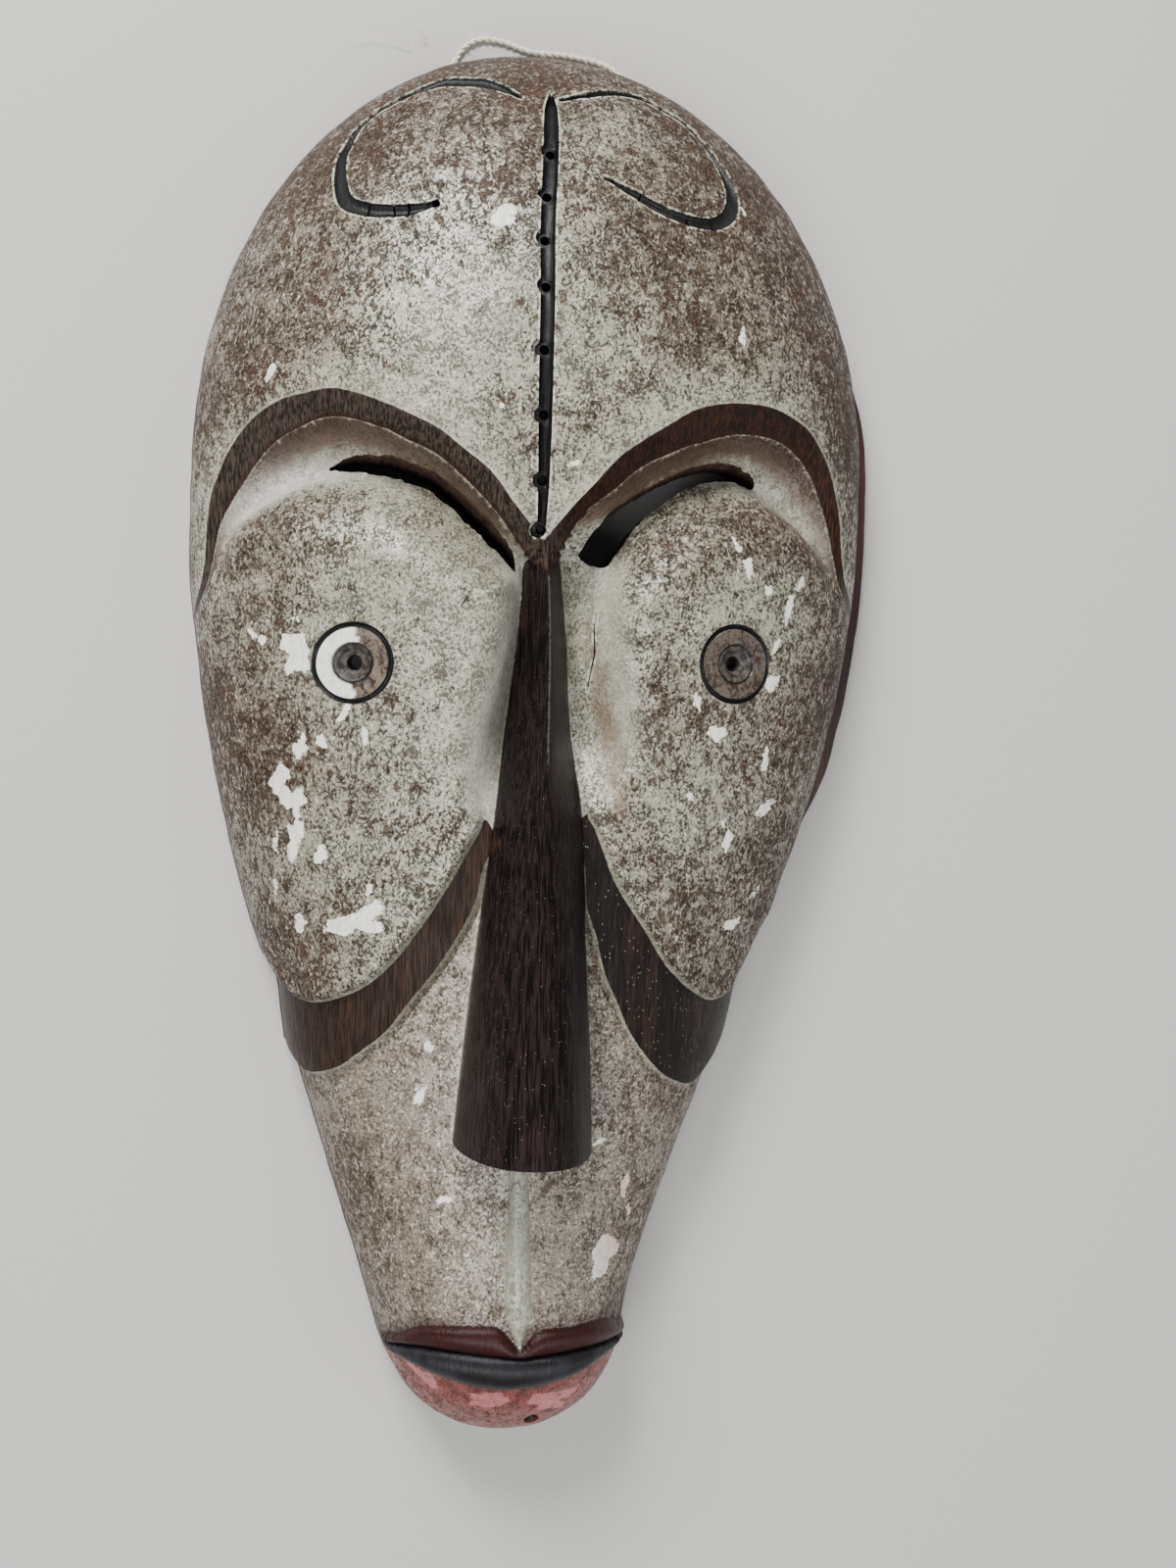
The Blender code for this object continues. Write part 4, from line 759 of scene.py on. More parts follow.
def frame_offset():
    """From the shared frame to the drawing's axes, where the mask's box isn't centred."""
    ring = front_surface(outline(RING_POINTS, half_width, 0.0))[:, :2]
    rim = ring + ring_normals(ring) * rim_reach(ring)[:, None]
    low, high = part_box("carved_mask")
    drawn = (rim.min(axis=0) + rim.max(axis=0)) / 2
    return Vector((drawn[0] - (low[0] + high[0]) / 2, drawn[1] - (low[1] + high[1]) / 2, 0))


MIDDLE = frame_offset()


class Unroll:
    """Stretches the plan near its outline, where the walls are steep."""

    def __init__(self, ring):
        offset = ring - CENTRE
        angle = np.arctan2(offset[:, 1], offset[:, 0])
        order = np.argsort(angle)
        self.angle = angle[order]
        self.reach = np.hypot(*offset.T)[order]

    def radius(self, angle):
        return np.interp(angle, self.angle, self.reach, period=2 * math.pi)

    def out(self, points):
        offset = points - CENTRE
        share = np.hypot(*offset.T) / self.radius(np.arctan2(offset[:, 1], offset[:, 0]))
        share = np.clip(share, 1e-9, 1)
        return CENTRE + offset * (np.arcsin(share) / share)[:, None]

    def back(self, points):
        offset = points - CENTRE
        share = np.hypot(*offset.T) / self.radius(np.arctan2(offset[:, 1], offset[:, 0]))
        share = np.clip(share, 1e-9, math.pi / 2)
        return CENTRE + offset * (np.sin(share) / share)[:, None]


def spaced(line, spacing):
    """A polyline resampled at even spacing, with every column and both ends kept."""
    steps = lengths_along(line[:, :2])
    count = max(int(round(steps[-1] / spacing)), 2)
    return points_at(line, steps, np.linspace(0, steps[-1], count + 1))


def shifted(line, offset):
    """A polyline moved sideways in the plan, by one distance or one for each point."""
    tangent = unit(np.gradient(line[:, :2], axis=0))
    sideways = np.column_stack([-tangent[:, 1], tangent[:, 0]])
    return line[:, :2] + np.reshape(offset, (-1, 1)) * sideways


def circle(centre, radius, count):
    turn = np.arange(count) * 2 * math.pi / count
    return np.column_stack([centre[0] + radius * np.cos(turn), centre[1] + radius * np.sin(turn)])


def gaps_to(points, targets):
    """Distance from each point to the nearest target."""
    tree = KDTree(len(targets))
    for index, target in enumerate(targets):
        tree.insert((target[0], target[1], 0), index)
    tree.balance()
    return np.array([tree.find((x, y, 0))[2] for x, y in points])


def hexagonal(low, high, spacing):
    """A grid of equal triangles over a box."""
    rows = []
    for row, y in enumerate(np.arange(low[1], high[1], spacing * math.sqrt(3) / 2)):
        x = np.arange(low[0] + (row % 2) * spacing / 2, high[0], spacing)
        rows.append(np.column_stack([x, np.full(len(x), y)]))
    return np.vstack(rows)


def loose_points(ring, fixed, unroll, wide, fine, fine_spots):
    """Grid points between the drawn lines, closer together near them and near the fine spots."""
    edge = unroll.out(ring)
    low, high = edge.min(axis=0), edge.max(axis=0)
    grid = hexagonal(low, high, wide)
    if fine:
        spots = np.vstack([fixed[::2], unroll.out(fine_spots)])
        grid = grid[gaps_to(grid, spots) > FINE_REACH]
        closer = hexagonal(low, high, fine)
        closer = closer[gaps_to(closer, spots) < FINE_REACH]
        grid = np.vstack([grid, closer])
    grid = grid[inside(grid, edge)]
    return grid[gaps_to(grid, fixed) > (fine or wide) * CLEAR_OF_LINES]


def triangulate(ring, lines, loops, holes, wide, fine=0.0, keep_out=(), fine_spots=()):
    """Plan triangles inside a ring, along open lines and round closed loops.

    Gives the points, the faces, and where each ring and hole point went.
    """
    unroll = Unroll(ring)
    shrunk = ring * LINES_WITHIN + CENTRE * (1 - LINES_WITHIN)
    chains = [(ring, True)] + [(hole, True) for hole in holes] + [(loop, True) for loop in loops]
    chains += [(line[inside(line, shrunk)], False) for line in lines]
    points, edges, starts, total = [], [], [], 0
    for chain, closed in chains:
        starts.append(total)
        if len(chain) < 2:
            continue
        count = len(chain)
        edges += [(total + i, total + (i + 1) % count) for i in range(count if closed else count - 1)]
        points.append(chain)
        total += count
    exact = np.vstack(points)
    fixed = unroll.out(exact)
    grid = loose_points(ring, fixed, unroll, wide, fine, fine_spots)
    flat = unroll.back(grid)
    for polygon in list(holes) + list(keep_out):
        clear = ~inside(flat, polygon)
        grid, flat = grid[clear], flat[clear]
    exact = np.vstack([exact, flat])
    vectors = [Vector(p) for p in np.vstack([fixed, grid])]
    verts, _, faces, origins, _, _ = delaunay_2d_cdt(vectors, edges, [], 0, MERGE_DISTANCE)
    spread = np.array([tuple(v) for v in verts])
    result = unroll.back(spread)
    went = np.full(len(exact), -1)
    for index, sources in enumerate(origins):
        if sources:
            result[index] = exact[sources[0]]
            went[list(sources)] = index
    faces = np.array(faces)
    middle = spread[faces].mean(axis=1)
    good = inside(middle, fixed[:len(ring)])
    for start, (hole, _) in zip(starts[1:], chains[1:1 + len(holes)]):
        good &= ~inside(middle, fixed[start:start + len(hole)])
    faces = faces[good]
    a, b, c = (spread[faces[:, i]] for i in range(3))
    turn = (b[:, 0] - a[:, 0]) * (c[:, 1] - a[:, 1]) - (b[:, 1] - a[:, 1]) * (c[:, 0] - a[:, 0])
    faces[turn < 0] = faces[turn < 0][:, ::-1]
    borders = [went[start:start + len(chain)] for start, (chain, _) in zip(starts, chains)]
    return result, faces, borders[:1 + len(holes)]


def slit_outline(side):
    """Ragged closed outline of an eye slit."""
    top, low = (SLIT_TOP_L, SLIT_LOW_L) if side < 0 else (SLIT_TOP_R, SLIT_LOW_R)
    rough = plan(top + low)
    closed = spaced(np.vstack([rough, rough[:1]]), LINE_STEP)[:-1]
    softer = (np.roll(closed, 1, axis=0) + 2 * closed + np.roll(closed, -1, axis=0)) / 4
    jag = sum(high * ripple(softer, seed + side, length) for seed, length, high in SLIT_WAVES)
    return softer + jag[:, None] * ring_normals(softer)


def front_lines():
    """Lines of the front that its triangles follow."""
    lines = []
    for side in (-1, 1):
        for line in (brow_outer[side], brow_inner[side], band_low[side]):
            lines.append(spaced(line[:, :2], LINE_STEP))
        edge = spaced(cheek_edge[side][:, :2], LINE_STEP)
        gap, _ = nearest(edge, np.vstack([slit_outline(side), slit_outline(side)[:1]]))
        lower = edge[gap > SLIT_CLEARANCE]
        breaks = np.where(np.hypot(*np.diff(lower, axis=0).T) > 2 * LINE_STEP)[0] + 1
        lines += [part for part in np.split(lower, breaks) if len(part) > 1]
        bevel = spaced(shifted(cheek_edge[side], side * BAND_DROP), LINE_STEP)
        lines.append(bevel[bevel[:, 1] < BEVEL_TOP_Y])
        lines.append(spaced(shifted(band_low[side], -side * BEVEL_WIDTH), LINE_STEP))
    for line in [centre_groove, crack] + horns + notches:
        middle = spaced(line, GROOVE_STEP)
        lines.append(middle[1:-1, :2])
        for share in GROOVE_LINE_SHARES:
            if abs(share) == 0.5 or middle[:, 2].max() > NARROW_GROOVE:
                lines.append(shifted(middle, middle[:, 2] * share))
    for line in (lip_top, mouth, lip_low):
        lines.append(spaced(line[:, :2], LINE_STEP))
    ridge = spaced(philtrum[philtrum[:, 1] > PHILTRUM_LINES_END_Y], LINE_STEP)[1:]
    for share in PHILTRUM_LINE_SHARES:
        lines.append(shifted(ridge, ridge[:, 2] * share))
    return lines


def nose_lines():
    """Columns of the nose, and the rows down its square-cut end."""
    rows = spaced(np.column_stack([nose[:, 1], nose[:, 0]]), NOSE_STEP)
    y = rows[:, 1]
    shares = np.cos(np.linspace(math.pi, 0, NOSE_COLUMN_COUNT))
    columns = [np.column_stack([nose_axis(y) + share * nose_half(y), y]) for share in shares]
    end = np.array([column[0] for column in columns])
    return columns, [end - [0, down] for down in NOSE_END_ROWS]


def wall(upper, lower):
    """Two triangles between each pair of neighbours on two closed rings."""
    return [np.column_stack([upper, lower, np.roll(lower, -1)]),
            np.column_stack([upper, np.roll(lower, -1), np.roll(upper, -1)])]


def chip_reach(points, chips, seed):
    """Signed distance to the nearest chip, positive inside it."""
    best = np.full(len(points), -CHIP_SEARCH / 2)
    for index, (x, y, wide, high, turn) in enumerate(chips):
        rng = np.random.default_rng(seed + index)
        offset = points - [x * UX, y * UY]
        near = np.hypot(*offset.T) < CHIP_SEARCH
        half_wide, half_high = wide * 0.0005, high * 0.0005
        c, s = math.cos(math.radians(turn)), math.sin(math.radians(turn))
        u = (offset[near] @ [c, s]) / half_wide
        v = (offset[near] @ [-s, c]) / half_high
        angle = np.arctan2(v, u)
        edge = np.ones(len(angle))
        for wave in range(2, 7):
            edge += CHIP_RAGGEDNESS / wave * rng.uniform(0.4, 1) * np.sin(wave * angle + rng.uniform(0, 7))
        reach = (edge - np.hypot(u, v)) * min(half_wide, half_high)
        best[near] = np.maximum(best[near], reach)
    return best


def band_polygon(side):
    """Outline of a dark cheek band."""
    upper = cheek_edge[side][BAND_START[side] * SPAN:, :2]
    lower = band_low[side][SPAN // 2:, :2]
    return np.vstack([upper, [[side * FAR, upper[-1, 1]]], [[side * FAR, lower[-1, 1]]], lower[::-1]])


def signed(points, within, *lines):
    """Distance to the nearest of the lines, positive where within holds."""
    gap = np.min([nearest(points, line)[0] for line in lines], axis=0)
    return np.where(within, gap, -gap)


def paint_values(points):
    """The values that the materials need, in millimetres or as shares, at plan points."""
    x, y = points.T
    heart, inner, muzzle = regions(points)
    values = {}
    brow = signed(points, heart & ~inner, *brow_outer.values(), *brow_inner.values())
    outer_gap = signed(points, heart, *brow_outer.values())
    nose_gap = np.minimum(nose_half(y) - np.abs(x - nose_axis(y)), y - nose[0, 0] + NOSE_END_ROWS[-1])
    nose_gap = np.minimum(nose_gap, nose[-1, 0] - y)
    bands = np.full(len(points), -1.0)
    socket = np.full(len(points), -0.02)
    valley = np.zeros(len(points))
    under = np.zeros(len(points))
    for side in (-1, 1):
        polygon = band_polygon(side)
        upper = cheek_edge[side][BAND_START[side] * SPAN:]
        bands = np.maximum(bands, signed(points, inside(points, polygon), upper, band_low[side][SPAN // 2:]))
        on_side = (x - nose_axis(y)) * side > 0
        cheek = inside(points, side_region(cheek_edge[side], side)) & inner
        low = on_side & inner & ~cheek & ~muzzle
        gap, place = nearest(points, cheek_edge[side])
        brow_gap, _ = nearest(points, brow_inner[side])
        blend = 1 - ramp(UNDER_BROW_END * SPAN, NOSE_SIDE_START * SPAN, place)
        area = signed(points, low, cheek_edge[side], brow_inner[side])
        socket = np.where(on_side, np.where(low & (blend < 0.5), -0.001, area), socket)
        under = np.where(low, blend * (1 - brow_gap / np.maximum(brow_gap + gap, 1e-9)), under)
        # Share of the painted highlight along the valley at the cheek's edge, by stretches of that edge
        seen = np.max([ramp(start, full, place / SPAN) * ramp(end, fading, place / SPAN)
                       for start, full, fading, end in VALLEY_HIGHLIGHT_SPANS], axis=0)
        reach = np.where(cheek, VALLEY_HIGHLIGHT_REACH_UP, VALLEY_HIGHLIGHT_REACH_DOWN)
        valley = np.maximum(valley, seen * np.exp(-(gap / reach) ** 2) * (on_side & inner & ~muzzle))
    for name, gaps in (("brow", brow), ("brow_edge", outer_gap), ("nose", nose_gap), ("band", bands),
                       ("socket", socket)):
        values[name] = gaps * 1000
    values["under"] = under
    values["valley"] = valley
    lip = inside(points, np.vstack([lip_top[:, :2], lip_low[::-1, :2]]))
    values["lips"] = signed(points, lip, lip_top, lip_low) * 1000
    upper_lip = inside(points, np.vstack([lip_top[:, :2], mouth[::-1, :2]]))
    values["upper_lip"] = signed(points, upper_lip, mouth) * 1000
    lip_y = np.interp(x, lip_low[:, 0], lip_low[:, 1])
    values["chin"] = (lip_y - y) * 1000
    groove = np.max([groove_reach(points, line)[0] for line in [centre_groove, crack] + horns + notches],
                    axis=0)
    for centre in stitches:
        notch = away_from(points - centre, -STITCH_NOTCH_SHIFT)
        groove = np.maximum(groove, STITCH_NOTCH_RADIUS - notch)
    horn_pit = HORN_HOLE_DARK_RADIUS - away_from(points, horn_hole)
    values["groove"] = np.maximum(groove, horn_pit) * 1000
    holes = [STITCH_HOLE_DIAMETER / 2 - away_from(points, centre) for centre in stitches]
    holes += [horn_pit, CHIN_SPOT_RADIUS - away_from(points, CHIN_SPOT)]
    values["hole"] = np.max(holes, axis=0) * 1000
    values["eye_left"] = away_from(points, eyes[0]) * 1000
    values["eye_right"] = away_from(points, eyes[1]) * 1000
    values["chip"] = chip_reach(points, CHIPS, 100) * 1000
    values["pink"] = chip_reach(points, CHIN_PATCHES, 200) * 1000
    rows = philtrum[::-1]
    ridge_gap = np.abs(x - np.interp(y, rows[:, 1], rows[:, 0]))
    values["philtrum"] = (np.interp(y, rows[:, 1], rows[:, 2], left=0, right=0) - ridge_gap) * 1000
    gap, place = nearest(points, stain)
    values["stain"] = (along(stain, place, 2) - gap) * 1000
    values["muzzle"] = signed(points, muzzle, *band_low.values()) * 1000
    # Distance from the nose's axis, made large outside its upper stretch, for the painted highlight along
    # its ridge
    beyond = ramp(-5 * UY, -35 * UY, y) + ramp(48 * UY, 56 * UY, y)
    values["ridge"] = np.abs(x - nose_axis(y)) * 1000 + 3 * beyond
    # Paint less rubbed along the valleys' painted highlight and on the ground under the brows
    calm = np.maximum(valley, ramp(-0.002, 0.004, socket))
    values["wear_and_painted_light"] = np.clip(wear_and_painted_light(points, outer_gap, nose_gap) - 0.5 * calm, 0, 1)
    return values


def wear_and_painted_light(points, brow_gap, nose_gap):
    """How far the pale paint is rubbed down to the brown, from 0 to 1, lowered in patches as painted
    highlights and raised on the forehead's upper left as painted shade.
    """
    x, y = points.T
    across = np.abs(x / np.maximum(half_width(x, y), 1e-6))
    worn_and_lit = 0.40 + 0.38 * ramp(0.45, 0.95, across) + 0.16 * ramp(150 * UY, 225 * UY, y)
    worn_and_lit += 0.14 * ramp(0, 0.04, x) * (1 - 0.5 * ramp(-120 * UY, -150 * UY, y))
    worn_and_lit -= 0.34 * np.exp(-(brow_gap / 0.009) ** 2) * (brow_gap < 0)
    worn_and_lit -= 0.30 * ramp(0.030, 0.006, -nose_gap) * ramp(-30 * UY, 0, y) * (brow_gap > 0)
    worn_and_lit += 0.16 * ramp(100 * UY, 170 * UY, y) - 0.10 * (y < -90 * UY)
    # Rubbed darker on the forehead's upper left, painted shade where the light falls off
    worn_and_lit += 0.14 * ramp(145 * UY, 190 * UY, y) * (x < 0)
    worn_and_lit -= 0.14 * ramp(0.04, 0.07, x) * (y < 60 * UY)
    for amount, middle_x, middle_y, wide, high in WEAR_AND_HIGHLIGHT_PATCHES:
        worn_and_lit += amount * np.exp(-(((x - middle_x) / wide) ** 2 + ((y - middle_y) / high) ** 2))
    worn_and_lit += 0.10 * ripple(points, 8, 0.060)
    return np.clip(worn_and_lit, 0, 1)


def gouges(points, hollow_z):
    """Shallow tool cuts on the hollow back, as a change of height."""
    rng = np.random.default_rng(11)
    low, high = points.min(axis=0), points.max(axis=0)
    spots = rng.uniform(low, high, (GOUGE_COUNT, 2))
    gap = gaps_to(points * GOUGE_STRETCH, spots * GOUGE_STRETCH)
    return GOUGE_DEPTH * np.clip(1 - (gap / GOUGE_RADIUS) ** 2, 0, 1) * ramp(0.004, 0.015, hollow_z)


def build_shell():
    """The whole mask as one closed mesh, and the plan point that each vertex takes its paint from."""
    ring = outline(RING_POINTS, half_width, 0.0)
    columns, end_rows = nose_lines()
    holes = [slit_outline(-1), slit_outline(1)]
    loops = []
    for centre in stitches:
        loops += [circle(centre, STITCH_HOLE_DIAMETER * share, 14) for share in STITCH_CIRCLES]
        notch = centre - STITCH_NOTCH_SHIFT
        loops += [circle(notch, STITCH_NOTCH_RADIUS * share, 16) for share in NOTCH_CIRCLES]
    loops += [circle(horn_hole, radius, 12) for radius in HORN_HOLE_CIRCLES]
    loops += [circle(CHIN_SPOT, CHIN_SPOT_RADIUS * share, 16) for share in CHIN_SPOT_CIRCLES]
    for centre in eyes:
        loops += [circle(centre, radius, int(16 + radius * 4000)) for radius in eye_radii()]
    chip_spots = np.array([(x * UX, y * UY) for x, y, _, _, _ in CHIPS])
    nose_area = np.vstack([columns[0], columns[-1][::-1]])
    front, front_faces, front_borders = triangulate(
        ring, front_lines() + columns + end_rows, loops, holes, WIDE_SPACING, FINE_SPACING, [nose_area],
        chip_spots)
    shape = front_surface(front)
    inner_ring = outline(RING_POINTS, hollow_half_width, RIM_WALL)
    back_holes = [shape[border, :2] for border in front_borders[1:]]
    back, back_faces, back_borders = triangulate(inner_ring, [], [], back_holes, BACK_SPACING)
    back_z = hollow(*back.T)
    back_z += gouges(back, back_z)
    back_z[back_borders[0]] = 0.0
    verts = [shape, np.column_stack([back, back_z])]
    groups = [(front_faces, 0), (back_faces[:, ::-1] + len(shape), 1)]
    total = len(shape) + len(back)

    edge = shape[front_borders[0], :2]
    outward = ring_normals(edge)
    reach = rim_reach(edge)[:, None]
    levels = [front_borders[0]]
    for share, height in RIM_SECTION:
        rim = edge + outward * (reach * share)
        verts.append(np.column_stack([rim, np.full(RING_POINTS, height)]))
        levels.append(total + np.arange(RING_POINTS))
        total += RING_POINTS
    levels.append(len(shape) + back_borders[0])
    for upper, lower in zip(levels, levels[1:]):
        groups += [(strip, 2) for strip in wall(upper, lower)]
    for hole, upper, lower in zip(holes, front_borders[1:], back_borders[1:]):
        turned = np.sum(hole[:, 0] * np.roll(hole[:, 1], -1) - np.roll(hole[:, 0], -1) * hole[:, 1]) > 0
        for strip in wall(upper, lower + len(shape)):
            groups.append((strip[:, ::-1] if turned else strip, 3))
    faces = np.vstack([group for group, _ in groups])
    slots = np.concatenate([np.full(len(group), slot) for group, slot in groups])
    return np.vstack(verts), faces, slots, front


def srgb(red, green, blue):
    """A colour as seen on a screen, 0 to 255, made linear."""
    shares = np.array([red, green, blue]) / 255
    linear = np.where(shares <= 0.04045, shares / 12.92, ((shares + 0.055) / 1.055) ** 2.4)
    return (*linear.tolist(), 1.0)


def grey(share):
    """One level, as a colour."""
    return (share, share, share, 1.0)


class Paint:
    """A Principled material, and short ways to wire its nodes."""

    def __init__(self, name):
        self.material = bpy.data.materials.new(name)
        self.material.use_nodes = True
        self.tree = self.material.node_tree
        self.shader = self.tree.nodes["Principled BSDF"]
        self.position = self.node("ShaderNodeTexCoord").outputs["Object"]

    def node(self, kind, settings=None, **inputs):
        """A new node; its inputs are given by name, or as i0, i1 and so on."""
        made = self.tree.nodes.new(kind)
        for name, value in (settings or {}).items():
            setattr(made, name, value)
        for name, value in inputs.items():
            socket = int(name[1:]) if name[1:].isdigit() else name
            self.set(made.inputs[socket], value)
        return made

    def set(self, socket, value):
        if isinstance(value, bpy.types.NodeSocket):
            self.tree.links.new(value, socket)
        else:
            socket.default_value = value

    def value(self, name):
        return self.node("ShaderNodeAttribute", {"attribute_name": name}).outputs["Fac"]

    def sum(self, a, b):
        return self.node("ShaderNodeMath", {"operation": "ADD"}, i0=a, i1=b).outputs[0]

    def times(self, a, b):
        return self.node("ShaderNodeMath", {"operation": "MULTIPLY"}, i0=a, i1=b).outputs[0]

    def most(self, a, b):
        return self.node("ShaderNodeMath", {"operation": "MAXIMUM"}, i0=a, i1=b).outputs[0]

    def spread(self, value, low, high, start=0.0, end=1.0):
        """Maps low to start and high to end, smooth between and level beyond."""
        return self.node("ShaderNodeMapRange", {"interpolation_type": "SMOOTHSTEP"}, i0=value, i1=low,
                         i2=high, i3=start, i4=end).outputs[0]

    def mix(self, share, a, b):
        made = self.node("ShaderNodeMix", {"data_type": "RGBA"})
        for index, value in ((0, share), (6, a), (7, b)):
            self.set(made.inputs[index], value)
        return made.outputs[2]

    def stretched(self, x, y, z):
        return self.node("ShaderNodeMapping", None, Vector=self.position, Scale=(x, y, z)).outputs[0]

    def noise(self, scale, detail=3.0, roughness=0.6, vector=None, distortion=0.0):
        made = self.node("ShaderNodeTexNoise", None, Vector=vector or self.position, Scale=scale,
                         Detail=detail, Roughness=roughness, Distortion=distortion)
        return made.outputs["Fac"]

    def finish(self, colour, roughness, height=None, distance=0.001, **others):
        self.set(self.shader.inputs["Base Color"], colour)
        self.set(self.shader.inputs["Roughness"], roughness)
        for name, value in others.items():
            self.set(self.shader.inputs[name.replace("_", " ")], value)
        if height is not None:
            bump = self.node("ShaderNodeBump", None, Strength=1.0, Distance=distance, Height=height)
            self.set(self.shader.inputs["Normal"], bump.outputs[0])
        return self.material


def grain_colour(paint, dark, warm, warm_share):
    """Dark stained wood with fine grain along the mask."""
    lines = paint.noise(1.0, 4.0, 0.7, paint.stretched(1500, 60, 700))
    streaks = paint.noise(1.0, 3.0, 0.6, paint.stretched(150, 9, 90))
    colour = paint.mix(paint.spread(streaks, 0.48, 0.72, 0, warm_share), dark, warm)
    colour = paint.mix(paint.spread(lines, 0.38, 0.56, 0.95, 0.0), colour, srgb(7, 5, 4))
    colour = paint.mix(paint.spread(lines, 0.58, 0.72, 0.0, 0.5), colour, srgb(74, 62, 54))
    return colour, lines


def front_material():
    """Pale rubbed paint, dark bands, nose, lips and grooves on the front, with painted highlights and shade.
    """
    p = Paint("worn_painted_front")
    ragged = p.sum(p.noise(700, 4.0, 0.7), -0.5)
    soft = p.sum(p.noise(160, 3.0, 0.6), -0.5)

    def by_muzzle(off, on):
        return p.spread(p.value("muzzle"), -4.0, 4.0, off, on)

    def torn(name, waver, low, high):
        return p.spread(p.sum(p.value(name), p.times(ragged, waver)), low, high)

    # Pale paint with fine dark specks, flaked off in patches down to the brown wood
    clouds = p.noise(34, 3.0, 0.55)
    blotches = p.noise(130, 3.0, 0.6)
    specks = p.noise(1.0, 3.0, 0.6, p.stretched(1150, 950, 1150), 0.6)
    flakes = p.noise(1.0, 5.0, 0.70, p.stretched(430, 270, 430), 0.9)
    muzzle = by_muzzle(0.0, 1.0)
    across = p.node("ShaderNodeSeparateXYZ", None, Vector=p.position).outputs["X"]
    # Paint wear, lowered for painted highlights and raised for painted shade
    worn_and_lit = p.value("wear_and_painted_light")
    level = p.sum(flakes, p.times(p.sum(clouds, -0.5), 0.22))
    level = p.sum(level, p.times(p.sum(worn_and_lit, -0.5), 0.20))
    bare = p.spread(level, 0.535, 0.575)
    rubbed = p.spread(p.sum(specks, p.times(p.sum(blotches, -0.5), 0.45)), 0.45, 0.59)
    rubbed = p.times(rubbed, by_muzzle(0.90, 0.72))
    rubbed = p.times(rubbed, p.spread(worn_and_lit, 0.05, 0.50, 0.82, 1.0))
    pale = p.mix(clouds, srgb(172, 170, 150), srgb(126, 120, 102))
    pale = p.mix(muzzle, pale, p.mix(clouds, srgb(142, 131, 114), srgb(116, 101, 86)))
    pale = p.mix(p.spread(worn_and_lit, 0.30, 1.0), pale, srgb(98, 80, 66))
    pale = p.mix(p.spread(p.noise(800, 3.0, 0.7), 0.53, 0.64, 0.0, 0.8), pale, srgb(204, 200, 184))
    colour = p.mix(rubbed, pale, p.mix(worn_and_lit, srgb(50, 44, 33), srgb(38, 27, 21)))
    brown = p.mix(p.spread(specks, 0.40, 0.62), srgb(74, 57, 45), srgb(28, 20, 15))
    reddish = p.times(p.spread(p.noise(60, 3.0, 0.6), 0.50, 0.62), by_muzzle(0.7, 0.1))
    brown = p.mix(reddish, brown, srgb(62, 33, 25))
    colour = p.mix(p.times(bare, by_muzzle(0.80, 0.50)), colour, brown)

    # Streaky tan ground under the brows, darker towards the brow as painted shade, a painted highlight along
    # the valleys, and the smooth ridge above the mouth
    socket = torn("socket", 0.8, -0.2, 0.4)
    # Tan ground, darker nearer the brow's inner edge as painted shade under the brow
    tan_and_shade = p.mix(p.spread(p.value("under"), 0.5, 0.95), srgb(96, 74, 58), srgb(66, 44, 32))
    streaks = p.noise(1.0, 4.0, 0.7, p.stretched(420, 90, 420))
    tan_and_shade = p.mix(p.spread(streaks, 0.35, 0.7, 0.0, 0.5), tan_and_shade, srgb(50, 37, 28))
    tan_share = p.spread(p.sum(p.value("under"), p.times(soft, 0.5)), 0.34, 0.62)
    colour = p.mix(p.times(socket, tan_share), colour, tan_and_shade)
    # Painted highlight along the valleys, paler and stronger on the left, where it lifts the shade
    valley = p.times(p.value("valley"), p.spread(p.noise(300, 3.0, 0.6), 0.25, 0.55, 0.55, 1.0))
    colour = p.mix(p.times(valley, p.spread(across, 0.0, 0.004, 0.68, 0.55)), colour,
                   p.mix(p.spread(across, 0.0, 0.004), srgb(200, 198, 188), srgb(166, 164, 150)))
    ridge = torn("philtrum", 1.0, -0.8, 0.9)
    smooth_pale = p.mix(p.spread(flakes, 0.4, 0.6), srgb(166, 168, 152), srgb(136, 138, 122))
    colour = p.mix(p.times(ridge, 0.72), colour, smooth_pale)

    # Tan stain beside the nose
    stain = p.sum(p.value("stain"), p.sum(p.times(soft, 7.0), p.times(ragged, 2.0)))
    stain = p.spread(stain, -1.5, 1.5, 0.0, 0.6)
    colour = p.mix(stain, colour, p.mix(specks, srgb(128, 108, 90), srgb(92, 72, 56)))

    # Reddish chin under the dark lips, with paler pink patches
    chin = torn("chin", 1.0, -0.3, 0.5)
    chin_bare = p.spread(p.noise(260, 4.0, 0.7), 0.42, 0.6)
    chin_colour = p.mix(chin_bare, srgb(130, 62, 56), srgb(92, 44, 38))
    chin_pale = p.spread(p.sum(p.value("pink"), p.sum(p.times(soft, 5.0), p.times(ragged, 2.6))), -0.2, 0.3)
    chin_colour = p.mix(p.times(chin_pale, 0.8), chin_colour, srgb(190, 116, 116))
    colour = p.mix(chin, colour, chin_colour)

    # White chips, pinkish on the right side of the muzzle
    chip = p.sum(p.value("chip"), p.times(soft, 4.0))
    chip = p.spread(p.sum(chip, p.times(ragged, 3.2)), -0.02, 0.08)
    white = p.mix(p.noise(300), srgb(250, 250, 244), srgb(228, 224, 206))
    pinkish = p.times(muzzle, p.spread(across, 0.020, 0.030))
    white = p.mix(pinkish, white, srgb(222, 190, 180))
    colour = p.mix(chip, colour, white)

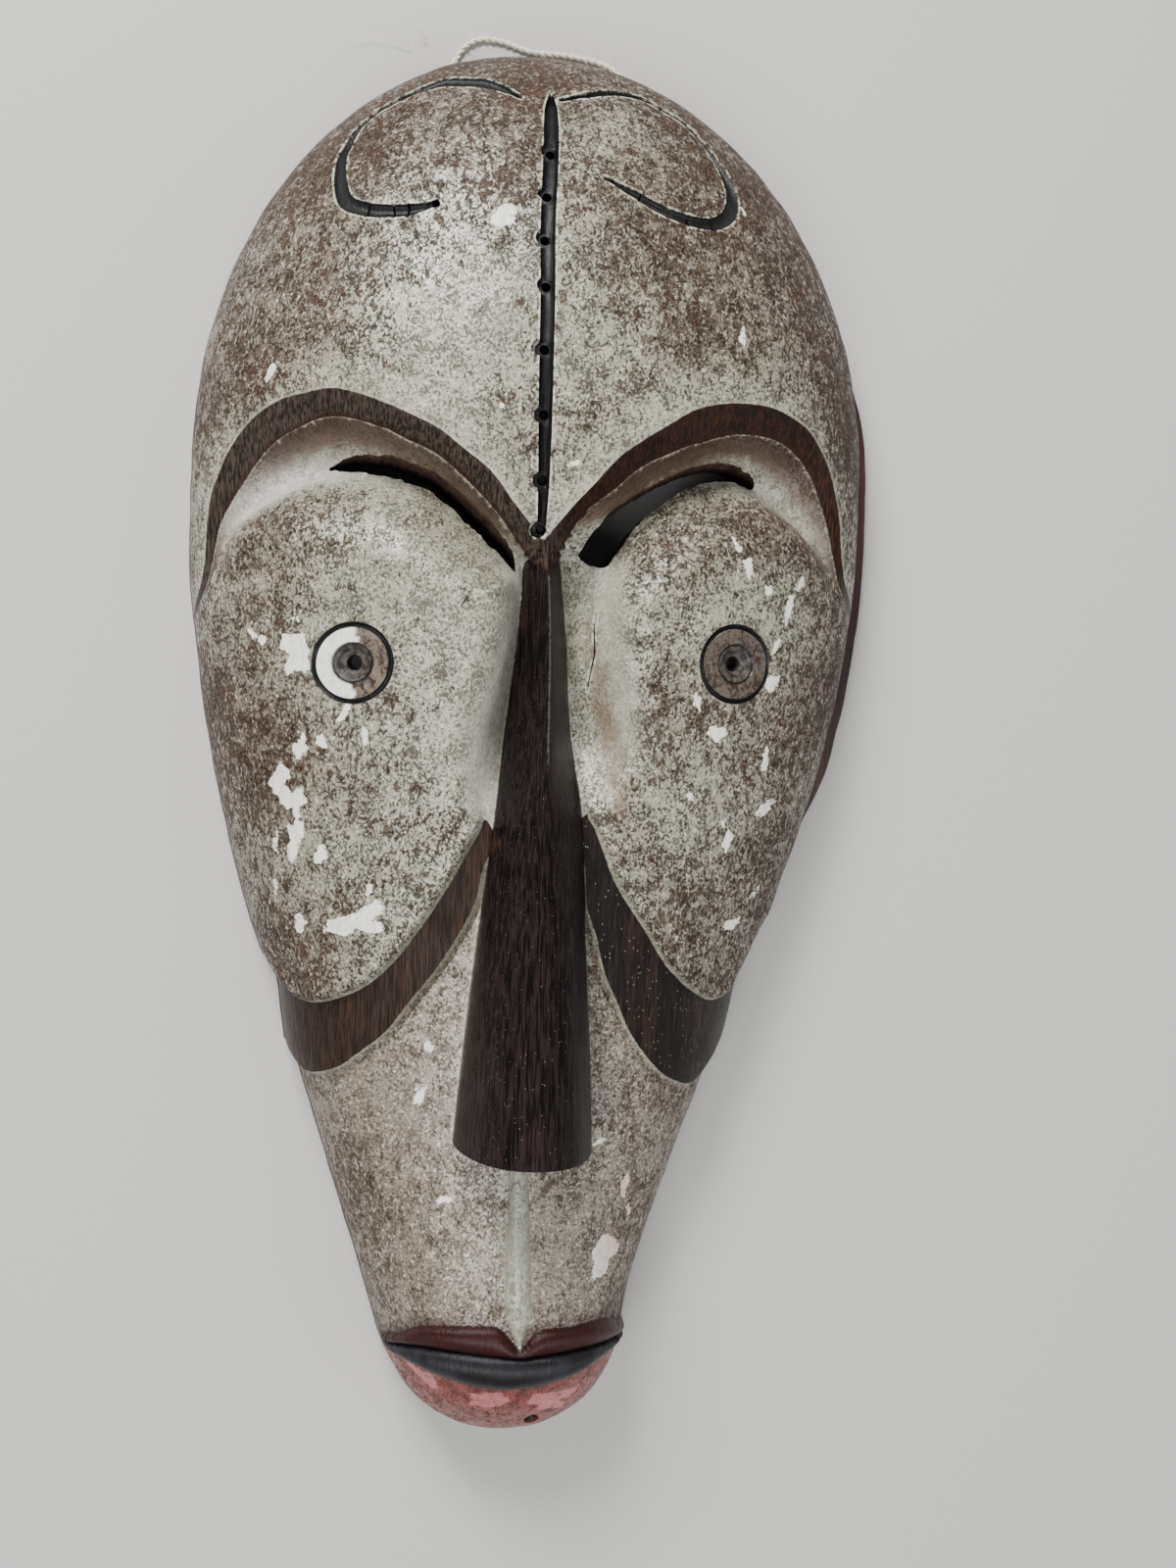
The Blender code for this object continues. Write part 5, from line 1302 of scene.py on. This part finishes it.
    # Dark wood of brows, nose and bands, with a thin pale line along their edges
    dark_reach = p.most(p.most(p.value("brow"), p.value("nose")), p.value("band"))
    pale_line = p.times(p.spread(dark_reach, -1.4, -0.3), p.spread(p.value("socket"), -0.2, 0.4, 1.0, 0.0))
    colour = p.mix(p.times(pale_line, 0.40), colour, srgb(176, 175, 158))
    dark = p.spread(p.sum(dark_reach, p.times(ragged, 0.6)), -0.12, 0.12)
    wood, lines = grain_colour(p, srgb(25, 17, 14), srgb(52, 34, 24), 0.8)
    nose_share, brow_share, band_share = [p.spread(p.value(name), -0.5, 0.5)
                                          for name in ("nose", "brow", "band")]
    hatch = p.spread(lines, 0.42, 0.60)
    wood = p.mix(p.times(nose_share, 0.80), wood, p.mix(hatch, srgb(10, 7, 8), srgb(41, 31, 31)))
    # The left brow and left band are painted paler and greyer than the right ones, a painted lit side with
    # its sheen; the right brow is redder
    wood = p.mix(p.times(brow_share, p.spread(across, 0.006, -0.006, 0.0, 0.5)), wood,
                 p.mix(hatch, srgb(34, 27, 22), srgb(92, 80, 70)))
    wood = p.mix(p.times(brow_share, p.spread(across, -0.006, 0.006, 0.0, 0.65)), wood,
                 p.mix(hatch, srgb(22, 9, 6), srgb(66, 30, 16)))
    band_left_lit = p.times(band_share, p.spread(across, 0.004, -0.004, 0.0, 0.36))
    wood = p.mix(band_left_lit, wood, p.mix(hatch, srgb(38, 25, 20), srgb(76, 55, 44)))
    # Painted highlight along the upper ridge of the nose
    ridge_highlight = p.times(p.spread(p.sum(p.value("ridge"), p.times(ragged, 1.6)), 0.6, 0.0), nose_share)
    wood = p.mix(p.times(ridge_highlight, 0.30), wood, srgb(132, 130, 126))
    dots = p.node("ShaderNodeTexVoronoi", None, Scale=330.0)
    chance = p.node("ShaderNodeSeparateColor", None, Color=dots.outputs["Color"]).outputs[0]
    dot = p.times(p.spread(dots.outputs["Distance"], 0.16, 0.10), p.spread(chance, 0.80, 0.81))
    right_band = p.times(p.spread(p.value("band"), 0.5, 1.5), p.spread(across, 0.0, 0.010))
    dot = p.times(dot, p.most(right_band, p.times(nose_share, 0.35)))
    wood = p.mix(dot, wood, srgb(226, 222, 208))
    red_edge = p.times(p.spread(p.value("brow"), 1.8, 0.2), p.spread(p.value("brow_edge"), 3.0, 5.0))
    red_edge = p.times(red_edge, p.spread(p.value("brow"), -0.6, -0.1))
    wood = p.mix(p.times(red_edge, 0.7), wood, srgb(50, 24, 16))
    colour = p.mix(dark, colour, wood)

    # Red-brown upper lip, blue-black lower lip with a painted grey-blue sheen, and darkening round the upper
    # one that fades outward
    lips = torn("lips", 1.2, -0.2, 0.3)
    # Darker round the upper lip, fading outward, kept above the lower lip and off the philtrum
    around_lip_darkening = p.spread(p.sum(p.value("lips"), p.times(soft, 6.0)), -6.0, 0.5, 0.0, 0.75)
    around_lip_darkening = p.times(around_lip_darkening, p.spread(p.value("chin"), -2.0, -6.0))
    around_lip_darkening = p.times(around_lip_darkening, p.spread(ridge, 0.0, 1.0, 1.0, 0.1))
    colour = p.mix(around_lip_darkening, colour, srgb(52, 27, 22))
    upper = p.spread(p.value("upper_lip"), -0.3, 0.3)
    lip_colour = p.mix(upper, srgb(20, 17, 21), srgb(46, 9, 7))
    # Painted grey-blue sheen in patches on the lower lip
    lower_lip_sheen = p.spread(p.noise(70, 2.0, 0.5), 0.45, 0.6, 0.0, 0.4)
    lower_lip_sheen = p.times(lower_lip_sheen, p.spread(upper, 0, 1, 1, 0))
    lip_colour = p.mix(lower_lip_sheen, lip_colour, srgb(48, 50, 60))
    lip_colour = p.mix(p.spread(p.noise(1.0, 3.0, 0.6, p.stretched(600, 120, 400)), 0.4, 0.7, 0.0, 0.5),
                       lip_colour, srgb(22, 15, 16))
    colour = p.mix(lips, colour, lip_colour)

    # Eyes: white or tan disc, dark rings and a grey cone
    rings = 0.0
    for name, disc, patch in (("eye_left", srgb(104, 90, 74), srgb(236, 236, 226)),
                              ("eye_right", srgb(82, 72, 62), srgb(92, 80, 70))):
        away = p.value(name)
        side = p.spread(p.sum(across, p.times(soft, 0.012)), -0.064, -0.062, 1.0, 0.0)
        within = p.spread(away, 11.4, 11.2)
        inner = p.mix(side, p.mix(p.spread(flakes, 0.46, 0.56), disc, srgb(60, 44, 35)), patch)
        colour = p.mix(within, colour, inner)
        cone = p.spread(p.sum(away, p.times(soft, 0.6)), 6.6, 6.2)
        colour = p.mix(cone, colour, p.mix(p.spread(p.noise(500, 3.0), 0.4, 0.7), srgb(46, 42, 39),
                                           srgb(92, 86, 79)))
        ring = p.times(p.spread(away, 11.25, 11.5), p.spread(away, 13.15, 12.85))
        line = p.times(p.spread(away, 5.85, 6.05), p.spread(away, 6.75, 6.55))
        hole = p.spread(away, 2.7, 2.3)
        colour = p.mix(p.most(p.most(ring, p.times(line, 0.8)), hole), colour, srgb(16, 16, 19))
        rings = p.most(p.most(ring, cone), rings)

    # Near-black grooves and their broken pale edges
    groove = p.value("groove")
    edge = p.times(p.spread(groove, -0.9, -0.2), p.spread(p.noise(400, 3.0, 0.6), 0.42, 0.56))
    colour = p.mix(p.times(edge, 0.85), colour, srgb(206, 203, 184))
    cut = p.spread(p.sum(groove, p.times(ragged, 0.35)), -0.08, 0.10)
    colour = p.mix(cut, colour, p.mix(p.spread(lines, 0.4, 0.7), srgb(11, 11, 12), srgb(30, 29, 30)))
    colour = p.mix(p.spread(p.value("hole"), -0.15, 0.1), colour, srgb(5, 5, 5))

    # Matt paint, glossier wood, and small relief
    gloss = p.most(p.most(dark, rings), p.most(cut, lips))
    matt = p.most(bare, rubbed)
    rough = p.mix(matt, grey(0.34), grey(0.60))
    rough = p.mix(chip, rough, grey(0.62))
    rough = p.mix(gloss, rough, grey(0.36))
    shine = p.mix(gloss, p.mix(matt, grey(1.0), grey(0.15)), grey(0.26))
    shine = p.mix(p.most(brow_share, band_share), shine, grey(0.14))
    shine = p.mix(nose_share, shine, grey(0.06))
    relief = p.sum(p.times(bare, -0.14), p.times(p.noise(240, 4.0, 0.6), 0.40))
    relief = p.sum(relief, p.times(specks, -0.16))
    relief = p.sum(relief, p.times(chip, -0.22))
    relief = p.mix(gloss, relief, p.times(lines, 0.30))
    return p.finish(colour, rough, relief, 0.001, Specular_IOR_Level=shine)


def wood_material(name, dark, light, gloss):
    """Bare or stained wood with grain along the mask."""
    p = Paint(name)
    grain = p.noise(1.0, 5.0, 0.65, p.stretched(520, 22, 260), 0.4)
    stain = p.noise(26, 3.0, 0.6)
    colour = p.mix(p.spread(grain, 0.35, 0.7), dark, light)
    colour = p.mix(p.spread(stain, 0.5, 0.75, 0.0, 0.45), colour, dark)
    return p.finish(colour, gloss, p.times(grain, 0.4), 0.001)


def twine_material():
    p = Paint("off_white_twine")
    fibre = p.noise(1900, 3.0, 0.6)
    colour = p.mix(fibre, srgb(252, 246, 230), srgb(214, 202, 178))
    return p.finish(colour, 0.7, p.times(fibre, 0.2), 0.0005)


def make_object(name, mesh, *materials):
    """Links a new object to the scene, on the root body."""
    obj = bpy.data.objects.new(name, mesh)
    bpy.context.scene.collection.objects.link(obj)
    for material in materials:
        mesh.materials.append(material)
    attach(obj, "root")
    return obj


def mesh_from(name, verts, faces):
    """A mesh from triangles, made quickly, with its points in the shared frame."""
    mesh = bpy.data.meshes.new(name)
    mesh.vertices.add(len(verts))
    mesh.vertices.foreach_set("co", (verts - [MIDDLE.x, MIDDLE.y, 0]).ravel())
    mesh.loops.add(faces.size)
    mesh.loops.foreach_set("vertex_index", faces.ravel().astype(np.int32))
    mesh.polygons.add(len(faces))
    mesh.polygons.foreach_set("loop_start", np.arange(0, faces.size, 3, dtype=np.int32))
    mesh.update(calc_edges=True)
    return mesh


def rim_hole_places():
    """Places and outward directions of the holes round the rim."""
    ring = front_surface(outline(RIM_HOLE_RING_POINTS, half_width, 0.0))[:, :2]
    outward = ring_normals(ring)
    steps = lengths_along(np.vstack([ring, ring[:1]]))
    count = int(round(steps[-1] / RIM_HOLE_SPACING))
    at = (np.arange(count) + RIM_HOLE_PHASE) * steps[-1] / count
    index = np.searchsorted(steps, at) % len(ring)
    return ring[index], outward[index]


def drill_rim(mask, places, outward):
    """Cuts the round holes through the rim."""
    bm = bmesh.new()
    radius = RIM_HOLE_DIAMETER / 2
    for place, direction in zip(places, outward):
        drilled = bmesh.ops.create_cone(bm, cap_ends=True, segments=RIM_DRILL_SIDES, radius1=radius,
                                        radius2=radius, depth=RIM_DRILL_LENGTH)
        turn = Vector((direction[0], direction[1], 0)).to_track_quat("Z", "Y").to_matrix()
        bmesh.ops.rotate(bm, verts=drilled["verts"], cent=(0, 0, 0), matrix=turn)
        centre = (place[0] - MIDDLE.x, place[1] - MIDDLE.y, RIM_HOLE_HEIGHT)
        bmesh.ops.translate(bm, verts=drilled["verts"], vec=centre)
    mesh = bpy.data.meshes.new("rim_drills")
    bm.to_mesh(mesh)
    bm.free()
    drills = bpy.data.objects.new("rim_drills", mesh)
    bpy.context.scene.collection.objects.link(drills)
    cut = mask.modifiers.new("rim_holes", "BOOLEAN")
    cut.operation = "DIFFERENCE"
    cut.solver = "MANIFOLD"
    cut.object = drills
    bpy.context.view_layer.update()
    cut_mesh = bpy.data.meshes.new_from_object(mask.evaluated_get(bpy.context.evaluated_depsgraph_get()))
    mask.modifiers.clear()
    mask.data = cut_mesh
    bpy.data.objects.remove(drills)


def add_values(mesh, before, values):
    """Puts each value on the vertices, taken from the nearest vertex of the uncut mesh."""
    tree = KDTree(len(before))
    for index, place in enumerate(before):
        tree.insert(place, index)
    tree.balance()
    source = np.array([tree.find(vertex.co)[1] for vertex in mesh.vertices])
    for name, value in values.items():
        layer = mesh.attributes.new(name, "FLOAT", "POINT")
        layer.data.foreach_set("value", value[source].astype(np.float32))


def smooth_with_sharp_edges(mesh, degrees):
    """Smooth shading, broken where faces meet at more than an angle."""
    mesh.polygons.foreach_set("use_smooth", np.ones(len(mesh.polygons), bool))
    bm = bmesh.new()
    bm.from_mesh(mesh)
    limit = math.radians(degrees)
    for edge in bm.edges:
        edge.smooth = len(edge.link_faces) == 2 and edge.calc_face_angle(0) < limit
    bm.to_mesh(mesh)
    bm.free()


def build_mask(places, outward):
    """The carved and painted mask."""
    verts, faces, slots, front = build_shell()
    mesh = mesh_from("mask_carving", verts, faces)
    mesh.polygons.foreach_set("material_index", slots.astype(np.int32))
    mask = make_object("mask_carving", mesh, front_material(),
                       wood_material("bare_hollow_wood", srgb(70, 50, 36), srgb(128, 96, 68), 0.7),
                       wood_material("dark_rim_wood", srgb(34, 18, 15), srgb(78, 42, 33), 0.42),
                       wood_material("slit_wall_wood", srgb(34, 20, 17), srgb(84, 58, 44), 0.7))
    before = verts - [MIDDLE.x, MIDDLE.y, 0]
    values = paint_values(front)
    for name, value in values.items():
        values[name] = np.concatenate([value, np.full(len(verts) - len(front), NO_PAINT)])
    drill_rim(mask, places, outward)
    add_values(mask.data, before, values)
    smooth_with_sharp_edges(mask.data, SHARP_FROM_DEGREES)
    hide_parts("carved_mask")
    return mask


def rim_depth():
    """From the front's edge to the hollow's wall at the height of the holes."""
    return RIM_WALL + HOLLOW_WALL_LEAN * RIM_HOLE_HEIGHT


def twine_route(places, outward):
    """Centreline from knot to knot: out of one hole, over the rim's outside and in at the other."""
    first, last = [int(np.argmin(((places - each) ** 2).sum(axis=1))) for each in plan(TWINE_HOLES)]
    floor = TWINE_DIAMETER / 2 + TWINE_OVER_FLOOR
    span = places[last] - places[first]
    away = np.array([-span[1], span[0]]) / np.hypot(*span)
    away = away if away[1] > 0 else -away
    route = []
    for hole, ends in ((first, 1), (last, -1)):
        reaches = (-rim_depth(), -rim_depth() / 2, 0.0, TWINE_STRAIGHT)[::ends]
        route.append([[*(places[hole] + outward[hole] * reach), RIM_HOLE_HEIGHT] for reach in reaches])
    middle = [[*(places[first] + span * share + away * out * 0.001), floor] for share, out in TWINE_OUTSIDE]
    points = np.array(route[0] + middle + route[1])
    smooth = smooth_line(points, 8)
    steps = lengths_along(smooth)
    at = np.linspace(0, steps[-1], int(round(steps[-1] / TWINE_STEP)) + 1)
    return points_at(smooth, steps, at) - [MIDDLE.x, MIDDLE.y, 0]


def sweep(centres, radius, sides):
    """Triangles of a closed-ended tube along a line of points."""
    tangent = unit(np.gradient(centres, axis=0))
    first = np.cross(tangent, [0.0, 0.0, 1.0])
    upright = np.linalg.norm(first, axis=1) < 1e-3
    first[upright] = np.cross(tangent[upright], [1.0, 0.0, 0.0])
    first = unit(first)
    second = np.cross(tangent, first)
    turn = np.arange(sides) * 2 * math.pi / sides
    radius = np.broadcast_to(radius, len(centres))[:, None, None]
    rings = centres[:, None] + radius * (first[:, None] * np.cos(turn)[:, None]
                                         + second[:, None] * np.sin(turn)[:, None])
    verts = np.vstack([rings.reshape(-1, 3), centres[:1], centres[-1:]])
    faces = []
    for level in range(len(centres) - 1):
        upper = level * sides + np.arange(sides)
        faces += wall(upper, upper + sides)
    around = np.arange(sides)
    low, high = len(verts) - 2, len(verts) - 1
    last = (len(centres) - 1) * sides
    faces.append(np.column_stack([np.full(sides, low), around, np.roll(around, -1)]))
    faces.append(np.column_stack([np.full(sides, high), last + np.roll(around, -1), last + around]))
    return verts, np.vstack(faces)


def join(parts):
    """Several swept tubes as one mesh's points and triangles."""
    total, verts, faces = 0, [], []
    for part_verts, part_faces in parts:
        verts.append(part_verts)
        faces.append(part_faces + total)
        total += len(part_verts)
    return np.vstack(verts), np.vstack(faces)


def frame_along(route):
    """Two directions across a route, kept from turning suddenly."""
    tangent = unit(np.gradient(route, axis=0))
    first = unit(np.cross(tangent, [0.0, 0.0, 1.0]))
    return first, np.cross(tangent, first)


def build_twine(route, material):
    """Two plies twisted round each other along the route."""
    steps = lengths_along(route)
    at = np.arange(0, steps[-1], PLY_STEP)
    line = points_at(route, steps, at)
    first, second = frame_along(line)
    plies = []
    for ply in range(2):
        turn = (2 * math.pi * at / PLY_PITCH + ply * math.pi)[:, None]
        centre = line + PLY_OFFSET * (first * np.cos(turn) + second * np.sin(turn))
        plies.append(sweep(centre, PLY_RADIUS, STRAND_SIDES))
    twine = make_object("hanging_twine_plies", shared_mesh("hanging_twine_plies", *join(plies)), material)
    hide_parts("hanging_twine")
    return twine


def shared_mesh(name, verts, faces):
    """A smooth mesh whose points are already in the shared frame."""
    mesh = mesh_from(name, verts + [MIDDLE.x, MIDDLE.y, 0], faces)
    mesh.polygons.foreach_set("use_smooth", np.ones(len(mesh.polygons), bool))
    return mesh


def build_knot(name, node, material):
    """A tight overhand knot, as a three-lobed curve that fills its solid."""
    low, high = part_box(node)
    centre = np.array((low + high) / 2)
    turn = np.linspace(0, 2 * math.pi, KNOT_POINTS, endpoint=False)
    lobes = np.column_stack([np.sin(turn) + 2 * np.sin(2 * turn), -np.sin(3 * turn),
                             np.cos(turn) - 2 * np.cos(2 * turn)])
    lobes *= (KNOT_DIAMETER / 2 - KNOT_INSET) / 3.0
    verts, faces = sweep(np.vstack([lobes, lobes[:1]]) + centre, KNOT_STRAND_RADIUS, STRAND_SIDES)
    knot = make_object(name, shared_mesh(name, verts, faces), material)
    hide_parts(node)
    return knot


def build_fibres(route, material):
    """Loose fibres: three long ones as seen, and short seeded fuzz along the loop."""
    rng = np.random.default_rng(5)
    tubes = []
    for points in LONG_FIBRES:
        line = smooth_line(np.array(points) * 0.001, 8) - [MIDDLE.x, MIDDLE.y, 0]
        tubes.append(sweep(line, np.linspace(*FIBRE_RADII, len(line)), 5))
    for _ in range(FUZZ_COUNT):
        start = route[rng.integers(5, len(route) - 5)]
        heading = rng.normal(size=3)
        heading[2] = abs(heading[2])
        bend = rng.normal(size=3) * FUZZ_BEND
        t = np.linspace(0, 1, FUZZ_POINTS)[:, None]
        line = start + rng.uniform(*FUZZ_LENGTH) * (heading * t + bend * t**2)
        line[:, 2] = np.maximum(line[:, 2], FIBRE_RADII[1])
        tubes.append(sweep(line, np.linspace(*FUZZ_RADII, FUZZ_POINTS), 4))
    fibres = make_object("twine_fibres", shared_mesh("twine_fibres", *join(tubes)), material)
    return fibres


def build_camera():
    """Looks down on the mask, turned and rolled a little."""
    turned = Matrix.Rotation(-CAMERA_TURN, 4, "Y")
    rolled = Matrix.Rotation(CAMERA_ROLL, 4, "Z")
    data = bpy.data.cameras.new("camera")
    data.sensor_width = CAMERA_SENSOR
    data.lens = CAMERA_LENS
    data.clip_start = 0.01
    camera = bpy.data.objects.new("camera", data)
    camera.matrix_world = Matrix.Translation(CAMERA_PLACE) @ turned @ rolled
    bpy.context.scene.collection.objects.link(camera)
    bpy.context.scene.camera = camera


def add_light(name, place, target, size, power, tint):
    """A soft square light aimed at a point."""
    data = bpy.data.lights.new(name, "AREA")
    data.shape = "RECTANGLE"
    data.size, data.size_y = size
    data.energy = power
    data.color = tint
    light = bpy.data.objects.new(name, data)
    light.location = place
    light.rotation_mode = "QUATERNION"
    light.rotation_quaternion = (Vector(target) - Vector(place)).to_track_quat("-Z", "Y")
    bpy.context.scene.collection.objects.link(light)


def build_studio():
    """A pale floor, a large soft key from the upper left, and weaker light from the front and the side."""
    mesh = bpy.data.meshes.new("floor")
    corners = [(x * FLOOR_REACH, y * FLOOR_REACH, 0) for x, y in ((-1, -1), (1, -1), (1, 1), (-1, 1))]
    mesh.from_pydata(corners, [], [(0, 1, 2, 3)])
    floor = bpy.data.objects.new("floor", mesh)
    bpy.context.scene.collection.objects.link(floor)
    paint = Paint("pale_floor")
    mesh.materials.append(paint.finish(srgb(190, 188, 184), 0.75))
    for light in LIGHTS:
        add_light(*light)
    world = bpy.data.worlds.new("studio")
    world.use_nodes = True
    background = world.node_tree.nodes["Background"]
    background.inputs["Color"].default_value = WORLD_TINT
    background.inputs["Strength"].default_value = WORLD_STRENGTH
    bpy.context.scene.world = world


def main():
    build_camera()
    places, outward = rim_hole_places()
    route = twine_route(places, outward)
    twine_paint = twine_material()
    twine = build_twine(route, twine_paint)
    knots = [build_knot("knot_left", "twine_knot_left", twine_paint),
             build_knot("knot_right", "twine_knot_right", twine_paint)]
    fibres = build_fibres(route, twine_paint)
    build_mask(places, outward)
    build_studio()


main()
